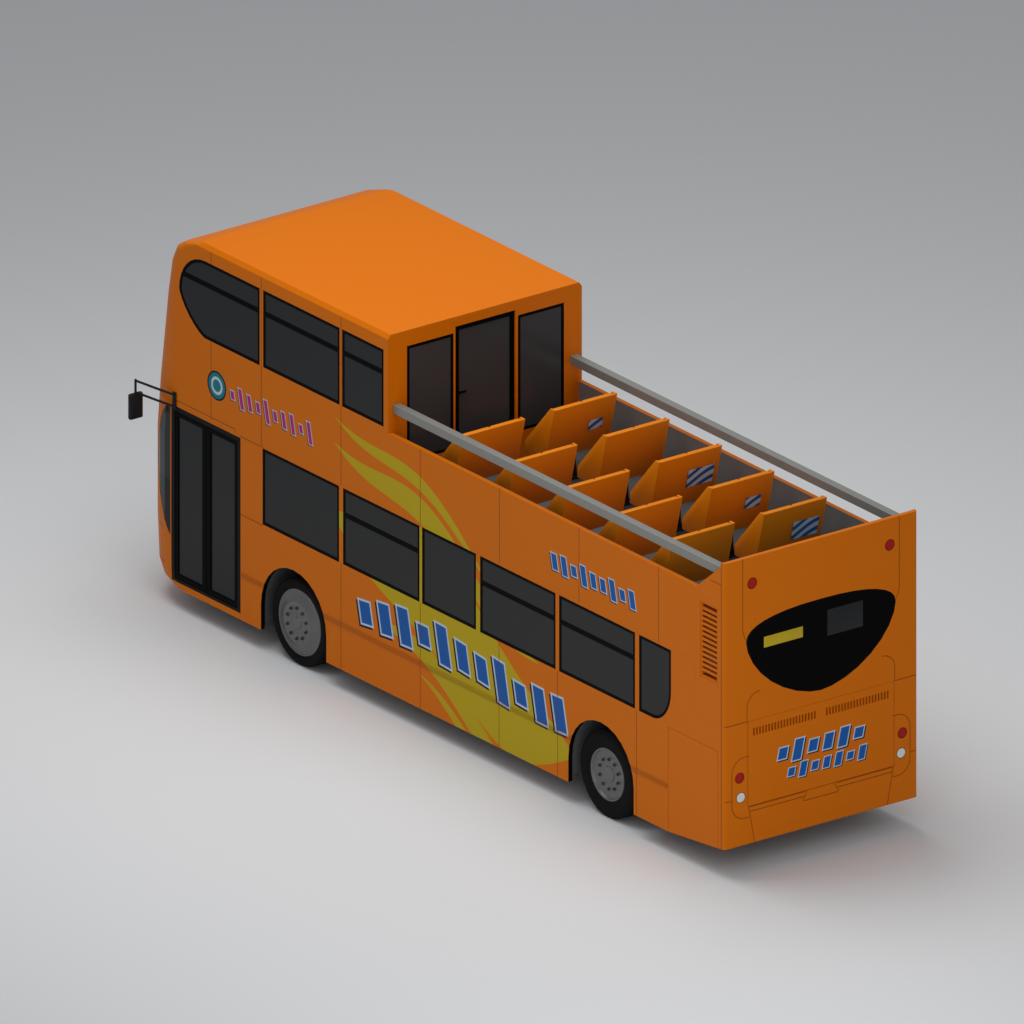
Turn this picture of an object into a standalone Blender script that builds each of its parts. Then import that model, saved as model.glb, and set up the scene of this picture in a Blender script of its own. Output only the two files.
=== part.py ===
"""Open top double decker bus: body panels, glazing, doors, seats, frame, axles and wheels.

Metres, +X forward, +Y to the nearside (left), +Z up. The origin is on the ground, under the
middle of the body. Stations along the bus are measured forward from the rear face.
"""
import math

import bmesh
import bpy
from mathutils import Matrix, Vector

# Whole body.
LENGTH = 10.30
WIDTH = 2.55
SKIRT_HEIGHT = 0.24
WALL = 0.055
SEAM = 0.0003
LID_GAP = 0.006
RUNNING_GAP = 0.0008
OVERRUN = 0.06

# Heights. The deck seam is where the lower and upper panels meet, and the waist is the sill of
# the lower side windows. The heights of what seats on them follow from these further down.
DECK_SEAM_HEIGHT = 2.33
UPPER_FLOOR_RISE = 0.12
UPPER_FLOOR_HEIGHT = DECK_SEAM_HEIGHT + UPPER_FLOOR_RISE
UPPER_FLOOR_THICKNESS = 0.08
UPPER_FLOOR_UNDERSIDE = UPPER_FLOOR_HEIGHT - UPPER_FLOOR_THICKNESS
UPPER_HEADROOM = 1.84
HEIGHT = UPPER_FLOOR_HEIGHT + UPPER_HEADROOM
WAIST_HEIGHT = 1.445

# Front end. The corner is a quarter ellipse in plan, which tightens towards the roof while the
# face leans back, so that the roof ends in a straight edge.
FACE_CORNER_LENGTH = 0.60
FACE_CORNER_WIDTH = 0.47
FACE_LEAN = 1.085
FACE_STEPS = 7
REAR_CORNER_RADIUS = 0.04
REAR_CORNER_STEPS = 3
# Rows of (height share of the body above the skirt, setback share of the face's lean, share of
# the corner's size).
FACE_ROW_SHARES = (
    (0.0, 0.242, 1.0), (0.017, 0.098, 1.0), (0.05, 0.030, 1.0), (0.18, 0.0, 1.0), (0.415, 0.0, 1.0),
    (0.548, 0.065, 0.95), (0.677, 0.167, 0.84), (0.807, 0.300, 0.63), (0.904, 0.429, 0.44),
    (0.951, 0.546, 0.33), (0.975, 0.705, 0.26), (0.988, 0.857, 0.21), (1.0, 1.0, 0.17),
)
ROOF_EDGE = 0.035

# Where the panels meet.
FACE_LOWER_STATION = 9.70
FACE_UPPER_STATION = 9.0
BULKHEAD_STATION = 5.895
BULKHEAD_THICKNESS = 0.05
DECK_WALL_RISE = 0.73
DECK_WALL_HEIGHT = UPPER_FLOOR_HEIGHT + DECK_WALL_RISE
TAIL_TOP_RISE = 0.398
TAIL_TOP_HEIGHT = DECK_WALL_HEIGHT + TAIL_TOP_RISE
TAIL_SEAM_RISE = 0.281
TAIL_SEAM_HEIGHT = WAIST_HEIGHT + TAIL_SEAM_RISE
TAIL_PANEL_DEPTH = 0.06
TAIL_WING_STATION = 0.49
TAIL_SIDE_STEP_STATION = 0.50
TAIL_UNDERCUT_STATION = 0.98
TAIL_UNDERCUT_RISE = 0.098

# Wheels, tyres and arches.
FRONT_AXLE_STATION = 7.554
REAR_AXLE_STATION = 2.161
TYRE_RADIUS = 0.487
TYRE_WIDTH = 0.275
TYRE_INSET = 0.067
TWIN_TYRE_GAP = 0.028
FRONT_BEAD_RADIUS = 0.368
REAR_BEAD_RADIUS = 0.293
WHEEL_SEGMENTS = 36
ARCH_HALF_WIDTH = 0.575
ARCH_CENTRE_HEIGHT = 0.525
ARCH_STEPS = 14
FRONT_HOUSING_RADIUS = 0.612
REAR_HOUSING_RADIUS = 0.60
HOUSING_WALL = 0.02
FRONT_HOUSING_DEPTH = 0.72
REAR_HOUSING_DEPTH = 0.66
AXLE_SLOT_CLEARANCE = 0.05

# Floors.
LOWER_FLOOR_HEIGHT = 0.34
LOWER_FLOOR_THICKNESS = 0.04
REAR_STEP_STATION = 3.20
REAR_FLOOR_HEIGHT = 0.80
ENGINE_WALL_STATION = 1.40
ENGINE_SHELF_DROP = 0.095
ENGINE_SHELF_HEIGHT = WAIST_HEIGHT - ENGINE_SHELF_DROP
BAY_WALL_STATION = 0.885

# Side windows. Spans are shares of the band of glass, from its rear end forward.
LOWER_BAND_REAR_STATION = 0.932
LOWER_BAND_FRONT_STATION = 8.098
LOWER_GLASS_BOTTOM = WAIST_HEIGHT
LOWER_GLASS_MARGIN = 0.02
LOWER_GLASS_TOP = DECK_SEAM_HEIGHT - LOWER_GLASS_MARGIN
LOWER_LIGHT_DEPTH = 0.296
LOWER_BAR_HEIGHT = LOWER_GLASS_TOP - LOWER_LIGHT_DEPTH
# Each row is (start share, end share, has an opening top light).
LOWER_WINDOW_SHARES = (
    (0.0, 0.0783, False), (0.0881, 0.2741, True), (0.2827, 0.4675, True),
    (0.4774, 0.6096, False), (0.6157, 0.8030, True), (0.8127, 1.0, False),
)
UPPER_BAND_REAR_STATION = 5.975
UPPER_BAND_FRONT_STATION = 9.563
UPPER_GLASS_RISE = 0.78
UPPER_GLASS_BOTTOM = UPPER_FLOOR_HEIGHT + UPPER_GLASS_RISE
ROOF_RAIL_DEPTH = 0.185
UPPER_GLASS_TOP = HEIGHT - ROOF_RAIL_DEPTH
UPPER_LIGHT_DEPTH = 0.261
UPPER_BAR_HEIGHT = UPPER_GLASS_TOP - UPPER_LIGHT_DEPTH
UPPER_WINDOW_SHARES = ((0.0, 0.203, True), (0.215, 0.589, True), (0.606, 1.0, True))
WINDOW_BAR = 0.055
WINDOW_FRAME = 0.034
PANE_RECESS = 0.004
PANE_THICKNESS = 0.008
GLAZING_SINK = 0.002
LINER = 0.006
LINER_MARGIN = 0.04
# The round ends of the first upper window and of the last lower one.
BOW_LENGTH = 0.453
BOW_DEPTH = 0.445
BOW_CENTRE_HEIGHT = UPPER_GLASS_TOP - BOW_DEPTH
BOW_UPPER_POWER = 2.0
BOW_LOWER_POWER = 1.4
TAIL_BOW_LENGTH = 0.33
TAIL_BOW_HEIGHT = 0.39
CURVE_STEPS = 8

# Windows of the front end.
CORNER_WINDOW_LENGTH = 0.33
SCREEN_MARGIN = 0.05
CORNER_WINDOW_BOTTOM = 0.81
CORNER_WINDOW_TOP = DECK_SEAM_HEIGHT - SCREEN_MARGIN
CORNER_WINDOW_DEPTH = 0.75
CORNER_WINDOW_CENTRE = CORNER_WINDOW_TOP - CORNER_WINDOW_DEPTH
WINDSCREEN_HALF_WIDTH = 0.93
WINDSCREEN_BOTTOM = 1.10
WINDSCREEN_TOP = DECK_SEAM_HEIGHT - SCREEN_MARGIN
UPPER_SCREEN_HALF_WIDTH = 0.97
SIGN_HALF_WIDTH = 0.80
SIGN_RISE = 0.07
SIGN_BOTTOM = UPPER_FLOOR_HEIGHT + SIGN_RISE
SIGN_DEPTH = 0.36
SIGN_TOP = SIGN_BOTTOM + SIGN_DEPTH
SIGN_GAP = 0.22
UPPER_SCREEN_BOTTOM = SIGN_TOP + SIGN_GAP
UPPER_SCREEN_BROW = 0.27
UPPER_SCREEN_TOP = HEIGHT - UPPER_SCREEN_BROW
SCREEN_CORNER_RADIUS = 0.12
DRIVER_WINDOW_REAR_STATION = 8.62
DRIVER_WINDOW_FRONT_STATION = 9.58
DRIVER_WINDOW_BOTTOM = 1.30
HEADLAMP_INNER = 0.60
HEADLAMP_OUTER = 1.06
HEADLAMP_BOTTOM = 0.50
HEADLAMP_TOP = 0.74
HEADLAMP_CORNER = 0.09
HEADLAMP_DEPTH = 0.055
LENS_RADIUS = 0.085
LENS_RECESS = 0.012
LENS_SPREAD = 0.105

# Rear face.
TAIL_WINDOW_HALF_WIDTH = 0.985
TAIL_WINDOW_CENTRE_RISE = 0.17
TAIL_WINDOW_CENTRE = UPPER_FLOOR_HEIGHT + TAIL_WINDOW_CENTRE_RISE
TAIL_WINDOW_RISE = 0.27
TAIL_WINDOW_MARGIN = 0.126
TAIL_WINDOW_DROP = TAIL_WINDOW_CENTRE - TAIL_SEAM_HEIGHT - TAIL_WINDOW_MARGIN
TAIL_WINDOW_UPPER_POWER = 2.4
TAIL_WINDOW_LOWER_POWER = 1.7
ENGINE_LID_HALF_WIDTH = 0.965
ENGINE_LID_BOTTOM = 0.758
VENT_SETDOWN = 0.136
VENT_HEIGHT = TAIL_SEAM_HEIGHT - VENT_SETDOWN
VENT_DEPTH = 0.085
VENT_INNER = 0.06
VENT_OUTER = 0.90
VENT_RECESS = 0.02
VENT_SLOTS = 21
VENT_SLOT_SHARE = 0.55
MARKER_OFFSET = 0.905
MARKER_SETDOWN = 0.298
MARKER_HEIGHT = TAIL_TOP_HEIGHT - MARKER_SETDOWN
MARKER_RADIUS = 0.060
LAMP_RED_OFFSET = 1.07
LAMP_RED_HEIGHT = 1.11
LAMP_WHITE_OFFSET = 1.055
LAMP_WHITE_HEIGHT = 0.885
LAMP_RADIUS = 0.057
LAMP_BACK = 0.02
LAMP_BACK_MARGIN = 0.02
LAMP_SINK = 0.001
LAMP_SEGMENTS = 24

# Engine bay access on the nearside, and the air grille above it.
SERVICE_REAR_STATION = 0.107
SERVICE_FRONT_STATION = 0.984
SERVICE_MARGIN = 0.015
SERVICE_TOP = WAIST_HEIGHT - SERVICE_MARGIN
GRILLE_REAR_STATION = 0.107
GRILLE_FRONT_STATION = 0.423
GRILLE_DROP = 0.185
GRILLE_BOTTOM = UPPER_FLOOR_UNDERSIDE - GRILLE_DROP
GRILLE_SETDOWN = 0.13
GRILLE_TOP = DECK_WALL_HEIGHT - GRILLE_SETDOWN
GRILLE_FRAME = 0.025
GRILLE_SLATS = 14
GRILLE_SLAT_SHARE = 0.5
GRILLE_SINK = 0.006
GRILLE_SLAT_DEPTH = 0.02

# Entrance.
DOOR_REAR_STATION = 8.484
DOOR_BOTTOM = 0.311
DOOR_MARGIN = 0.03
DOOR_TOP = DECK_SEAM_HEIGHT - DOOR_MARGIN
DOOR_FRAME = 0.055
DOOR_FRAME_THRESHOLD = 0.034
DOOR_LEAF_THICKNESS = 0.036
DOOR_LEAF_SINK = 0.006
DOOR_LEAF_FRAME = 0.05
DOOR_MEETING_FRAME = 0.068
DOOR_LEAF_BOTTOM_RAIL = 0.05

# Pin hinges in the gaps beside doors and lids, of fixed and moving knuckles in turn.
HINGE_RADIUS = 0.0027
HINGE_WEB = 0.003
HINGE_BITE = 0.002
HINGE_KNUCKLES = 5
HINGE_SEGMENTS = 8

# Bulkhead openings, seen from the rear.
BULKHEAD_WINDOW_INNER = 0.414
BULKHEAD_WINDOW_OUTER = 1.026
BULKHEAD_OFFSIDE_INNER = 0.434
BULKHEAD_OFFSIDE_OUTER = 1.04
BULKHEAD_SILL_RISE = 0.34
BULKHEAD_WINDOW_BOTTOM = UPPER_FLOOR_HEIGHT + BULKHEAD_SILL_RISE
BULKHEAD_BROW = 0.18
BULKHEAD_WINDOW_TOP = HEIGHT - BULKHEAD_BROW
DECK_DOOR_LEFT = 0.388
DECK_DOOR_RIGHT = -0.40
DECK_DOOR_STEP = 0.14
DECK_DOOR_BOTTOM = UPPER_FLOOR_HEIGHT + DECK_DOOR_STEP
DECK_DOOR_LINTEL = 0.112
DECK_DOOR_TOP = HEIGHT - DECK_DOOR_LINTEL
DECK_DOOR_THICKNESS = 0.036
DECK_DOOR_FRAME = 0.05
DECK_HANDLE_RISE = 0.81
DECK_HANDLE_HEIGHT = DECK_DOOR_BOTTOM + DECK_HANDLE_RISE
DECK_HANDLE_OUTER = 0.32
DECK_HANDLE_LENGTH = 0.08
DECK_HANDLE_BAR = 0.014
DECK_HANDLE_PROUD = 0.010

# Guard rails of the open deck.
RAIL_INNER = 1.118
RAIL_OUTER = 1.212
RAIL_CLEARANCE = 0.212
RAIL_BOTTOM = DECK_WALL_HEIGHT + RAIL_CLEARANCE
RAIL_DEPTH = 0.098
RAIL_TOP = RAIL_BOTTOM + RAIL_DEPTH
RAIL_BEVEL = 0.006

# Seats: pairs on each side of the aisle.
SEAT_INNER = 0.19
SEAT_OUTER = 1.02
SEAT_BACK_HEIGHT = 0.945
SEAT_BACK_THICKNESS = 0.075
SEAT_RAKE = 0.16
SEAT_LENGTH = 0.52
SEAT_CUSHION_HEIGHT = 0.43
SEAT_CUSHION_THICKNESS = 0.11
SEAT_WING_SETBACK = 0.012
SEAT_WING_DROP = 0.487
SEAT_WING_THICKNESS = 0.022
SEAT_LEG_WIDTH = 0.24
SEAT_LEG_START = 0.20
SEAT_LEG_LENGTH = 0.20
SEAT_TRACK_WIDTH = 0.08
SEAT_TRACK_HEIGHT = 0.03
SEAT_PITCH = 0.92
OPEN_ROW_STATION = 1.25
OPEN_ROWS = 5
COVERED_ROW_STATION = 6.98
COVERED_ROWS = 3
COVERED_PITCH = 0.86
OFFSIDE_FRONT_ROW_STATION = 8.80
SALOON_ROW_STATION = 3.36
SALOON_ROWS = 4
SALOON_PITCH = 0.82
BENCH_STATION = 1.62

# Staircase on the offside, behind the driver.
STAIR_FOOT_STATION = 8.70
STAIR_TREADS = 8
STAIR_GOING = 0.21
STAIR_WIDTH = 0.58
STAIR_WAIST = 0.10
STAIR_HEAD_THICKNESS = 0.03
STAIRWELL_CLEARANCE = 0.05

# Driver's place.
CAB_REAR_STATION = 8.84
CAB_WIDTH = 0.92
CAB_PLATFORM = 0.16
DASH_DEPTH = 0.42
DASH_HEIGHT = 0.78
CAB_SEAT_WIDTH = 0.46
CAB_SEAT_LENGTH = 0.46
CAB_SEAT_HEIGHT = 0.45
CAB_SEAT_THICKNESS = 0.12
CAB_SEAT_BACK = 0.72
CAB_SEAT_SETBACK = 0.03
CAB_LEG = 0.16
STEERING_WHEEL_RADIUS = 0.22
STEERING_WHEEL_RIM = 0.016
STEERING_COLUMN_RADIUS = 0.022
STEERING_COLUMN_LENGTH = 0.20
STEERING_TILT = math.radians(25)

# Frame.
FRAME_RAIL_OFFSET = 0.40
FRAME_RAIL_WIDTH = 0.08
FRAME_RAIL_DEPTH = 0.065
REAR_RAIL_DEPTH = 0.10
FRAME_FRONT_STATION = 9.50
FRAME_REAR_STATION = 0.16
FRAME_RISER = 0.10
CROSS_MEMBER = 0.07
OUTRIGGER_REACH = 1.19
# Stations of the cross members, as shares of the low frame's length.
CROSS_MEMBER_SHARES = (0.045, 0.33, 0.55, 0.84, 0.985)

# Axles and steering.
BEAM_WIDTH = 0.10
BEAM_DEPTH = 0.085
BEAM_POST_INNER = 0.70
BEAM_POST_OUTER = 0.80
KINGPIN_OFFSET = 0.88
KINGPIN_RADIUS = 0.035
KNUCKLE_HEIGHT = 0.28
LUG_THICKNESS = 0.03
LUG_REACH = 0.044
STUB_RADIUS = 0.045
STUB_LENGTH = 0.11
BRAKE_RADIUS = 0.17
BRAKE_THICKNESS = 0.035
AXLE_TUBE_RADIUS = 0.075
DIFFERENTIAL_RADIUS = 0.19
SPRING_RADIUS = 0.10
AXLE_SEGMENTS = 18
HUB_RADIUS = 0.13
FRONT_TRIM_PROUD = 0.045
FRONT_TRIM_FACE_RADIUS = 0.24
REAR_DISC_RECESS = 0.02
DISC_THICKNESS = 0.02
RIM_WALL = 0.014

# Engine, one plain block between the rear rails.
ENGINE_REAR_STATION = 0.22
ENGINE_LENGTH = 1.02
ENGINE_BOTTOM = 0.46
ENGINE_CLEARANCE = 0.04
ENGINE_TOP = ENGINE_SHELF_HEIGHT - LOWER_FLOOR_THICKNESS - ENGINE_CLEARANCE

# Mirrors.
MIRROR_BRACKET_STATION = 9.63
MIRROR_BRACKET_LENGTH = 0.05
MIRROR_BRACKET_THICKNESS = 0.018
MIRROR_BRACKET_DROP = 0.06
MIRROR_BRACKET_BOTTOM = DECK_SEAM_HEIGHT - MIRROR_BRACKET_DROP
MIRROR_BRACKET_RISE = 0.124
MIRROR_BRACKET_TOP = DECK_SEAM_HEIGHT + MIRROR_BRACKET_RISE
MIRROR_REACH = 0.545
MIRROR_SPREAD = 0.095
MIRROR_ARM_RADIUS = 0.013
MIRROR_HEAD_WIDTH = 0.17
MIRROR_HEAD_HEIGHT = 0.29
MIRROR_HEAD_DEPTH = 0.055
MIRROR_HEAD_BEVEL = 0.018
MIRROR_HEAD_DROP = 0.03
MIRROR_HEAD_TOP = DECK_SEAM_HEIGHT - MIRROR_HEAD_DROP
MIRROR_END_RISE = 0.01

HALF_WIDTH = WIDTH / 2
REAR = -LENGTH / 2
INSIDE_HALF_WIDTH = HALF_WIDTH - WALL - SEAM
FACE_STATION = LENGTH - FACE_CORNER_LENGTH
WHEEL_FACE = HALF_WIDTH - TYRE_INSET
LOWER_FLOOR_UNDERSIDE = LOWER_FLOOR_HEIGHT - LOWER_FLOOR_THICKNESS
REAR_FLOOR_UNDERSIDE = REAR_FLOOR_HEIGHT - LOWER_FLOOR_THICKNESS

PARTS = "double_decker_bus"
CUTTERS = "cutters"

# Each plane's axes as matrix columns: drawing right, drawing up, thickness.
PLANES = {
    "side": Matrix(((1, 0, 0), (0, 0, -1), (0, 1, 0))),
    "end": Matrix(((0, 0, 1), (1, 0, 0), (0, 1, 0))),
    "plan": Matrix.Identity(3),
}
THICKNESS_AXIS = {"side": 1, "end": 0, "plan": 2}

# Colour, roughness and metallic value of each finish.
FINISHES = {
    "orange_paint": ((0.72, 0.17, 0.006), 0.35, 0.0),
    "dark_glass": ((0.03, 0.03, 0.03), 0.10, 0.0),
    "black_rubber": ((0.012, 0.012, 0.012), 0.65, 0.0),
    "tyre": ((0.018, 0.018, 0.019), 0.85, 0.0),
    "silver_paint": ((0.45, 0.45, 0.46), 0.40, 0.6),
    "rail_grey": ((0.42, 0.42, 0.40), 0.40, 0.5),
    "frame_steel": ((0.05, 0.05, 0.055), 0.55, 0.7),
    "floor_grey": ((0.16, 0.17, 0.18), 0.80, 0.0),
    "seat_orange": ((0.78, 0.20, 0.01), 0.55, 0.0),
    "cab_black": ((0.02, 0.02, 0.022), 0.60, 0.0),
    "lamp_red": ((0.35, 0.0, 0.0), 0.15, 0.0),
    "lamp_clear": ((0.75, 0.75, 0.72), 0.10, 0.0),
    "cast_iron": ((0.07, 0.07, 0.07), 0.70, 0.5),
}


def at(station):
    """X of a station measured forward from the rear face."""
    return REAR + station


def start_scene():
    """Empty the scene and make the collections of the parts and of their cutters."""
    for old in list(bpy.data.objects):
        bpy.data.objects.remove(old, do_unlink=True)
    for name in (PARTS, CUTTERS):
        group = bpy.data.collections.new(name)
        bpy.context.scene.collection.children.link(group)
    bpy.data.collections[CUTTERS].hide_render = True


def finish(name):
    """The Principled material of a finish, made once."""
    material = bpy.data.materials.get(name)
    if material is None:
        colour, roughness, metallic = FINISHES[name]
        material = bpy.data.materials.new(name)
        material.use_nodes = True
        shader = material.node_tree.nodes["Principled BSDF"]
        shader.inputs["Base Color"].default_value = (*colour, 1.0)
        shader.inputs["Roughness"].default_value = roughness
        shader.inputs["Metallic"].default_value = metallic
        material.diffuse_color = (*colour, 1.0)
    return material


def as_cutter(name, mesh):
    """A construction solid, kept out of the render and out of the parts."""
    solid = bpy.data.objects.new(name, mesh)
    solid.hide_render = True
    solid.display_type = 'WIRE'
    bpy.data.collections[CUTTERS].objects.link(solid)
    return solid


def as_part(solid, name, finish_name, origin=None):
    """Move a finished solid among the parts, with its material and its origin."""
    bpy.data.collections[CUTTERS].objects.unlink(solid)
    bpy.data.collections[PARTS].objects.link(solid)
    solid.name = name
    solid.data.name = name
    solid.hide_render = False
    solid.display_type = 'TEXTURED'
    solid.data.materials.clear()
    solid.data.materials.append(finish(finish_name))
    if origin is not None:
        solid.data.transform(Matrix.Translation(-Vector(origin)))
        solid.location = origin
    return solid


def mesh_from(name, graph):
    """A mesh from a bmesh, which it frees."""
    mesh = bpy.data.meshes.new(name)
    graph.to_mesh(mesh)
    graph.free()
    return mesh


def box(name, low, high):
    """A box between two corners."""
    graph = bmesh.new()
    bmesh.ops.create_cube(graph, size=1.0)
    size = Vector(high) - Vector(low)
    middle = (Vector(high) + Vector(low)) / 2
    bmesh.ops.scale(graph, vec=size, verts=graph.verts)
    bmesh.ops.translate(graph, vec=middle, verts=graph.verts)
    return as_cutter(name, mesh_from(name, graph))


def rod(name, radius, start, end, segments=AXLE_SEGMENTS, end_radius=None):
    """A cylinder or a cone between two points."""
    graph = bmesh.new()
    run = Vector(end) - Vector(start)
    tip = radius if end_radius is None else end_radius
    bmesh.ops.create_cone(
        graph, cap_ends=True, segments=segments, radius1=radius, radius2=tip, depth=run.length)
    turn = run.to_track_quat('Z', 'Y').to_matrix().to_4x4()
    place = Matrix.Translation((Vector(start) + Vector(end)) / 2) @ turn
    bmesh.ops.transform(graph, matrix=place, verts=graph.verts)
    return as_cutter(name, mesh_from(name, graph))


def outline_solid(name, loops, plane, low, high):
    """The solid of a flat outline, with any holes, between two places along its thickness."""
    curve = bpy.data.curves.new(name, 'CURVE')
    curve.dimensions = '2D'
    curve.fill_mode = 'BOTH'
    curve.extrude = (high - low) / 2
    for loop in loops:
        spline = curve.splines.new('POLY')
        spline.points.add(len(loop) - 1)
        spline.use_cyclic_u = True
        for point, (right, up) in zip(spline.points, loop):
            point.co = (right, up, 0.0, 1.0)
    drawing = bpy.data.objects.new(name, curve)
    bpy.context.scene.collection.objects.link(drawing)
    place = PLANES[plane].to_4x4()
    place.translation[THICKNESS_AXIS[plane]] = (low + high) / 2
    mesh = evaluated(drawing)
    bpy.data.objects.remove(drawing, do_unlink=True)
    mesh.transform(place)
    graph = bmesh.new()
    graph.from_mesh(mesh)
    bmesh.ops.remove_doubles(graph, verts=graph.verts, dist=SEAM / 10)
    bmesh.ops.dissolve_limit(graph, angle_limit=math.radians(0.02), verts=graph.verts, edges=graph.edges)
    bmesh.ops.recalc_face_normals(graph, faces=graph.faces)
    graph.to_mesh(mesh)
    graph.free()
    return as_cutter(name, mesh)


def turned(name, profile, centre, side, segments=WHEEL_SEGMENTS):
    """A ring or disc turned about the axle from a closed profile of (radius, distance outboard)."""
    mesh = bpy.data.meshes.new(name)
    graph = bmesh.new()
    corners = [graph.verts.new((radius, 0.0, out)) for radius, out in profile]
    for first, second in zip(corners, corners[1:] + corners[:1]):
        if first.co.x > 0 or second.co.x > 0:
            graph.edges.new((first, second))
    graph.to_mesh(mesh)
    graph.free()
    blank = as_cutter(name, mesh)
    screw = blank.modifiers.new("turn", 'SCREW')
    screw.steps = segments
    screw.render_steps = segments
    screw.merge_threshold = SEAM / 10
    screw.use_merge_vertices = True
    apply_modifiers(blank)
    spin = Matrix.Rotation(-side * math.pi / 2, 4, 'X')
    blank.data.transform(Matrix.Translation(centre) @ spin)
    graph = bmesh.new()
    graph.from_mesh(blank.data)
    bmesh.ops.remove_doubles(graph, verts=graph.verts, dist=SEAM / 10)
    bmesh.ops.recalc_face_normals(graph, faces=graph.faces)
    graph.to_mesh(blank.data)
    graph.free()
    return blank


def evaluated(solid):
    """A new mesh of an object as its modifiers leave it."""
    bpy.context.view_layer.update()
    view = bpy.context.evaluated_depsgraph_get()
    return bpy.data.meshes.new_from_object(solid.evaluated_get(view))


def apply_modifiers(solid):
    """Keep the result of an object's modifiers as its mesh."""
    mesh = evaluated(solid)
    solid.modifiers.clear()
    solid.data = mesh


def combine(solid, others, operation):
    """Union, difference or intersection with each other solid in turn."""
    for other in others:
        modifier = solid.modifiers.new(operation.lower(), 'BOOLEAN')
        modifier.operation = operation
        modifier.solver = 'EXACT'
        modifier.object = other
    apply_modifiers(solid)
    graph = bmesh.new()
    graph.from_mesh(solid.data)
    bmesh.ops.remove_doubles(graph, verts=graph.verts, dist=SEAM / 30)
    bmesh.ops.dissolve_limit(graph, angle_limit=math.radians(0.05), verts=graph.verts, edges=graph.edges)
    graph.to_mesh(solid.data)
    graph.free()
    return solid


def cut(solid, *others):
    """Take the other solids away."""
    return combine(solid, others, 'DIFFERENCE')


def join(solid, *others):
    """Add the other solids."""
    return combine(solid, others, 'UNION')


def keep_in(solid, *others):
    """Keep what lies inside the other solids."""
    return combine(solid, others, 'INTERSECT')


def copied(solid, name, offset=(0.0, 0.0, 0.0)):
    """A copy of a solid, moved by an offset."""
    mesh = solid.data.copy()
    mesh.transform(Matrix.Translation(Vector(solid.location) + Vector(offset)))
    return as_cutter(name, mesh)


def mirrored(solid, name):
    """The same solid on the other side of the bus."""
    mesh = solid.data.copy()
    mesh.transform(Matrix.Scale(-1.0, 4, (0.0, 1.0, 0.0)) @ Matrix.Translation(solid.location))
    mesh.flip_normals()
    return as_cutter(name, mesh)


def hinge_line(fixed, moving, start, end, to_fixed, to_moving):
    """Carry a moving piece on a fixed one by knuckles along an axis, each on a short web."""
    step = (Vector(end) - Vector(start)) / HINGE_KNUCKLES
    along = step.normalized()
    for index in range(HINGE_KNUCKLES):
        owner, toward = (moving, Vector(to_moving)) if index % 2 else (fixed, Vector(to_fixed))
        low = Vector(start) + step * index + along * RUNNING_GAP / 2
        high = low + step - along * RUNNING_GAP
        across = along.cross(toward.normalized()) * HINGE_WEB / 2
        depth = toward.normalized() * (toward.length + HINGE_BITE)
        corners = (low + along * SEAM - across, high - along * SEAM + across + depth)
        web = box(
            "hinge_web", [min(pair) for pair in zip(*corners)], [max(pair) for pair in zip(*corners)])
        join(owner, rod("knuckle", HINGE_RADIUS, low, high, HINGE_SEGMENTS), web)


def bevelled(solid, width):
    """Round the sharp edges of a plain solid."""
    modifier = solid.modifiers.new("edges", 'BEVEL')
    modifier.width = width
    modifier.segments = 2
    modifier.limit_method = 'ANGLE'
    apply_modifiers(solid)
    return solid


def rectangle(left, right, bottom, top):
    """Corners of a rectangle, anticlockwise."""
    return [(left, bottom), (right, bottom), (right, top), (left, top)]


def corner_arc(centre, reach, rise, power=2.0, steps=CURVE_STEPS):
    """Points of a quarter oval from its sideways end to its upright end."""
    points = []
    for step in range(steps + 1):
        turn = math.pi / 2 * step / steps
        across = math.cos(turn) ** (2 / power)
        along = math.sin(turn) ** (2 / power)
        points.append((centre[0] + reach * across, centre[1] + rise * along))
    return points


def rounded(left, right, bottom, top, radius, steps=4):
    """A rectangle with round corners."""
    points = corner_arc((right - radius, top - radius), radius, radius, steps=steps)
    points += corner_arc((left + radius, top - radius), -radius, radius, steps=steps)[::-1]
    points += corner_arc((left + radius, bottom + radius), -radius, -radius, steps=steps)
    points += corner_arc((right - radius, bottom + radius), radius, -radius, steps=steps)[::-1]
    return points


def inset_outline(points, width):
    """The outline shrunk on all sides by a width, about its own middle."""
    across = [point[0] for point in points]
    up = [point[1] for point in points]
    middle = ((min(across) + max(across)) / 2, (min(up) + max(up)) / 2)
    half = ((max(across) - min(across)) / 2, (max(up) - min(up)) / 2)
    scale = (1 - width / half[0], 1 - width / half[1])
    return [
        (middle[0] + (right - middle[0]) * scale[0], middle[1] + (high - middle[1]) * scale[1])
        for right, high in points
    ]


def plan_outline(setback, corner_share, narrowing, inset):
    """The body's outline in plan where its face and its sides stand back by so much."""
    side = HALF_WIDTH - narrowing - inset
    corner = max(REAR_CORNER_RADIUS - inset, 0.0)
    rear = at(0) + inset
    points = []
    if corner > 0:
        centre = (rear + corner, side - corner)
        for step in range(REAR_CORNER_STEPS + 1):
            turn = math.pi / 2 * step / REAR_CORNER_STEPS
            points.append((centre[0] - corner * math.cos(turn), centre[1] + corner * math.sin(turn)))
    else:
        points.append((rear, side))
    length = FACE_CORNER_LENGTH * corner_share
    width = FACE_CORNER_WIDTH * corner_share
    start = at(LENGTH) - setback - length
    middle = HALF_WIDTH - width
    reach = width - narrowing - inset
    for step in range(FACE_STEPS + 1):
        turn = math.pi / 2 * step / FACE_STEPS
        forward = start + (length - inset) * math.sin(turn)
        points.append((forward, middle + reach * math.cos(turn)))
    return points + [(forward, -across) for forward, across in reversed(points)]


ENVELOPES = {}


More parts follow.
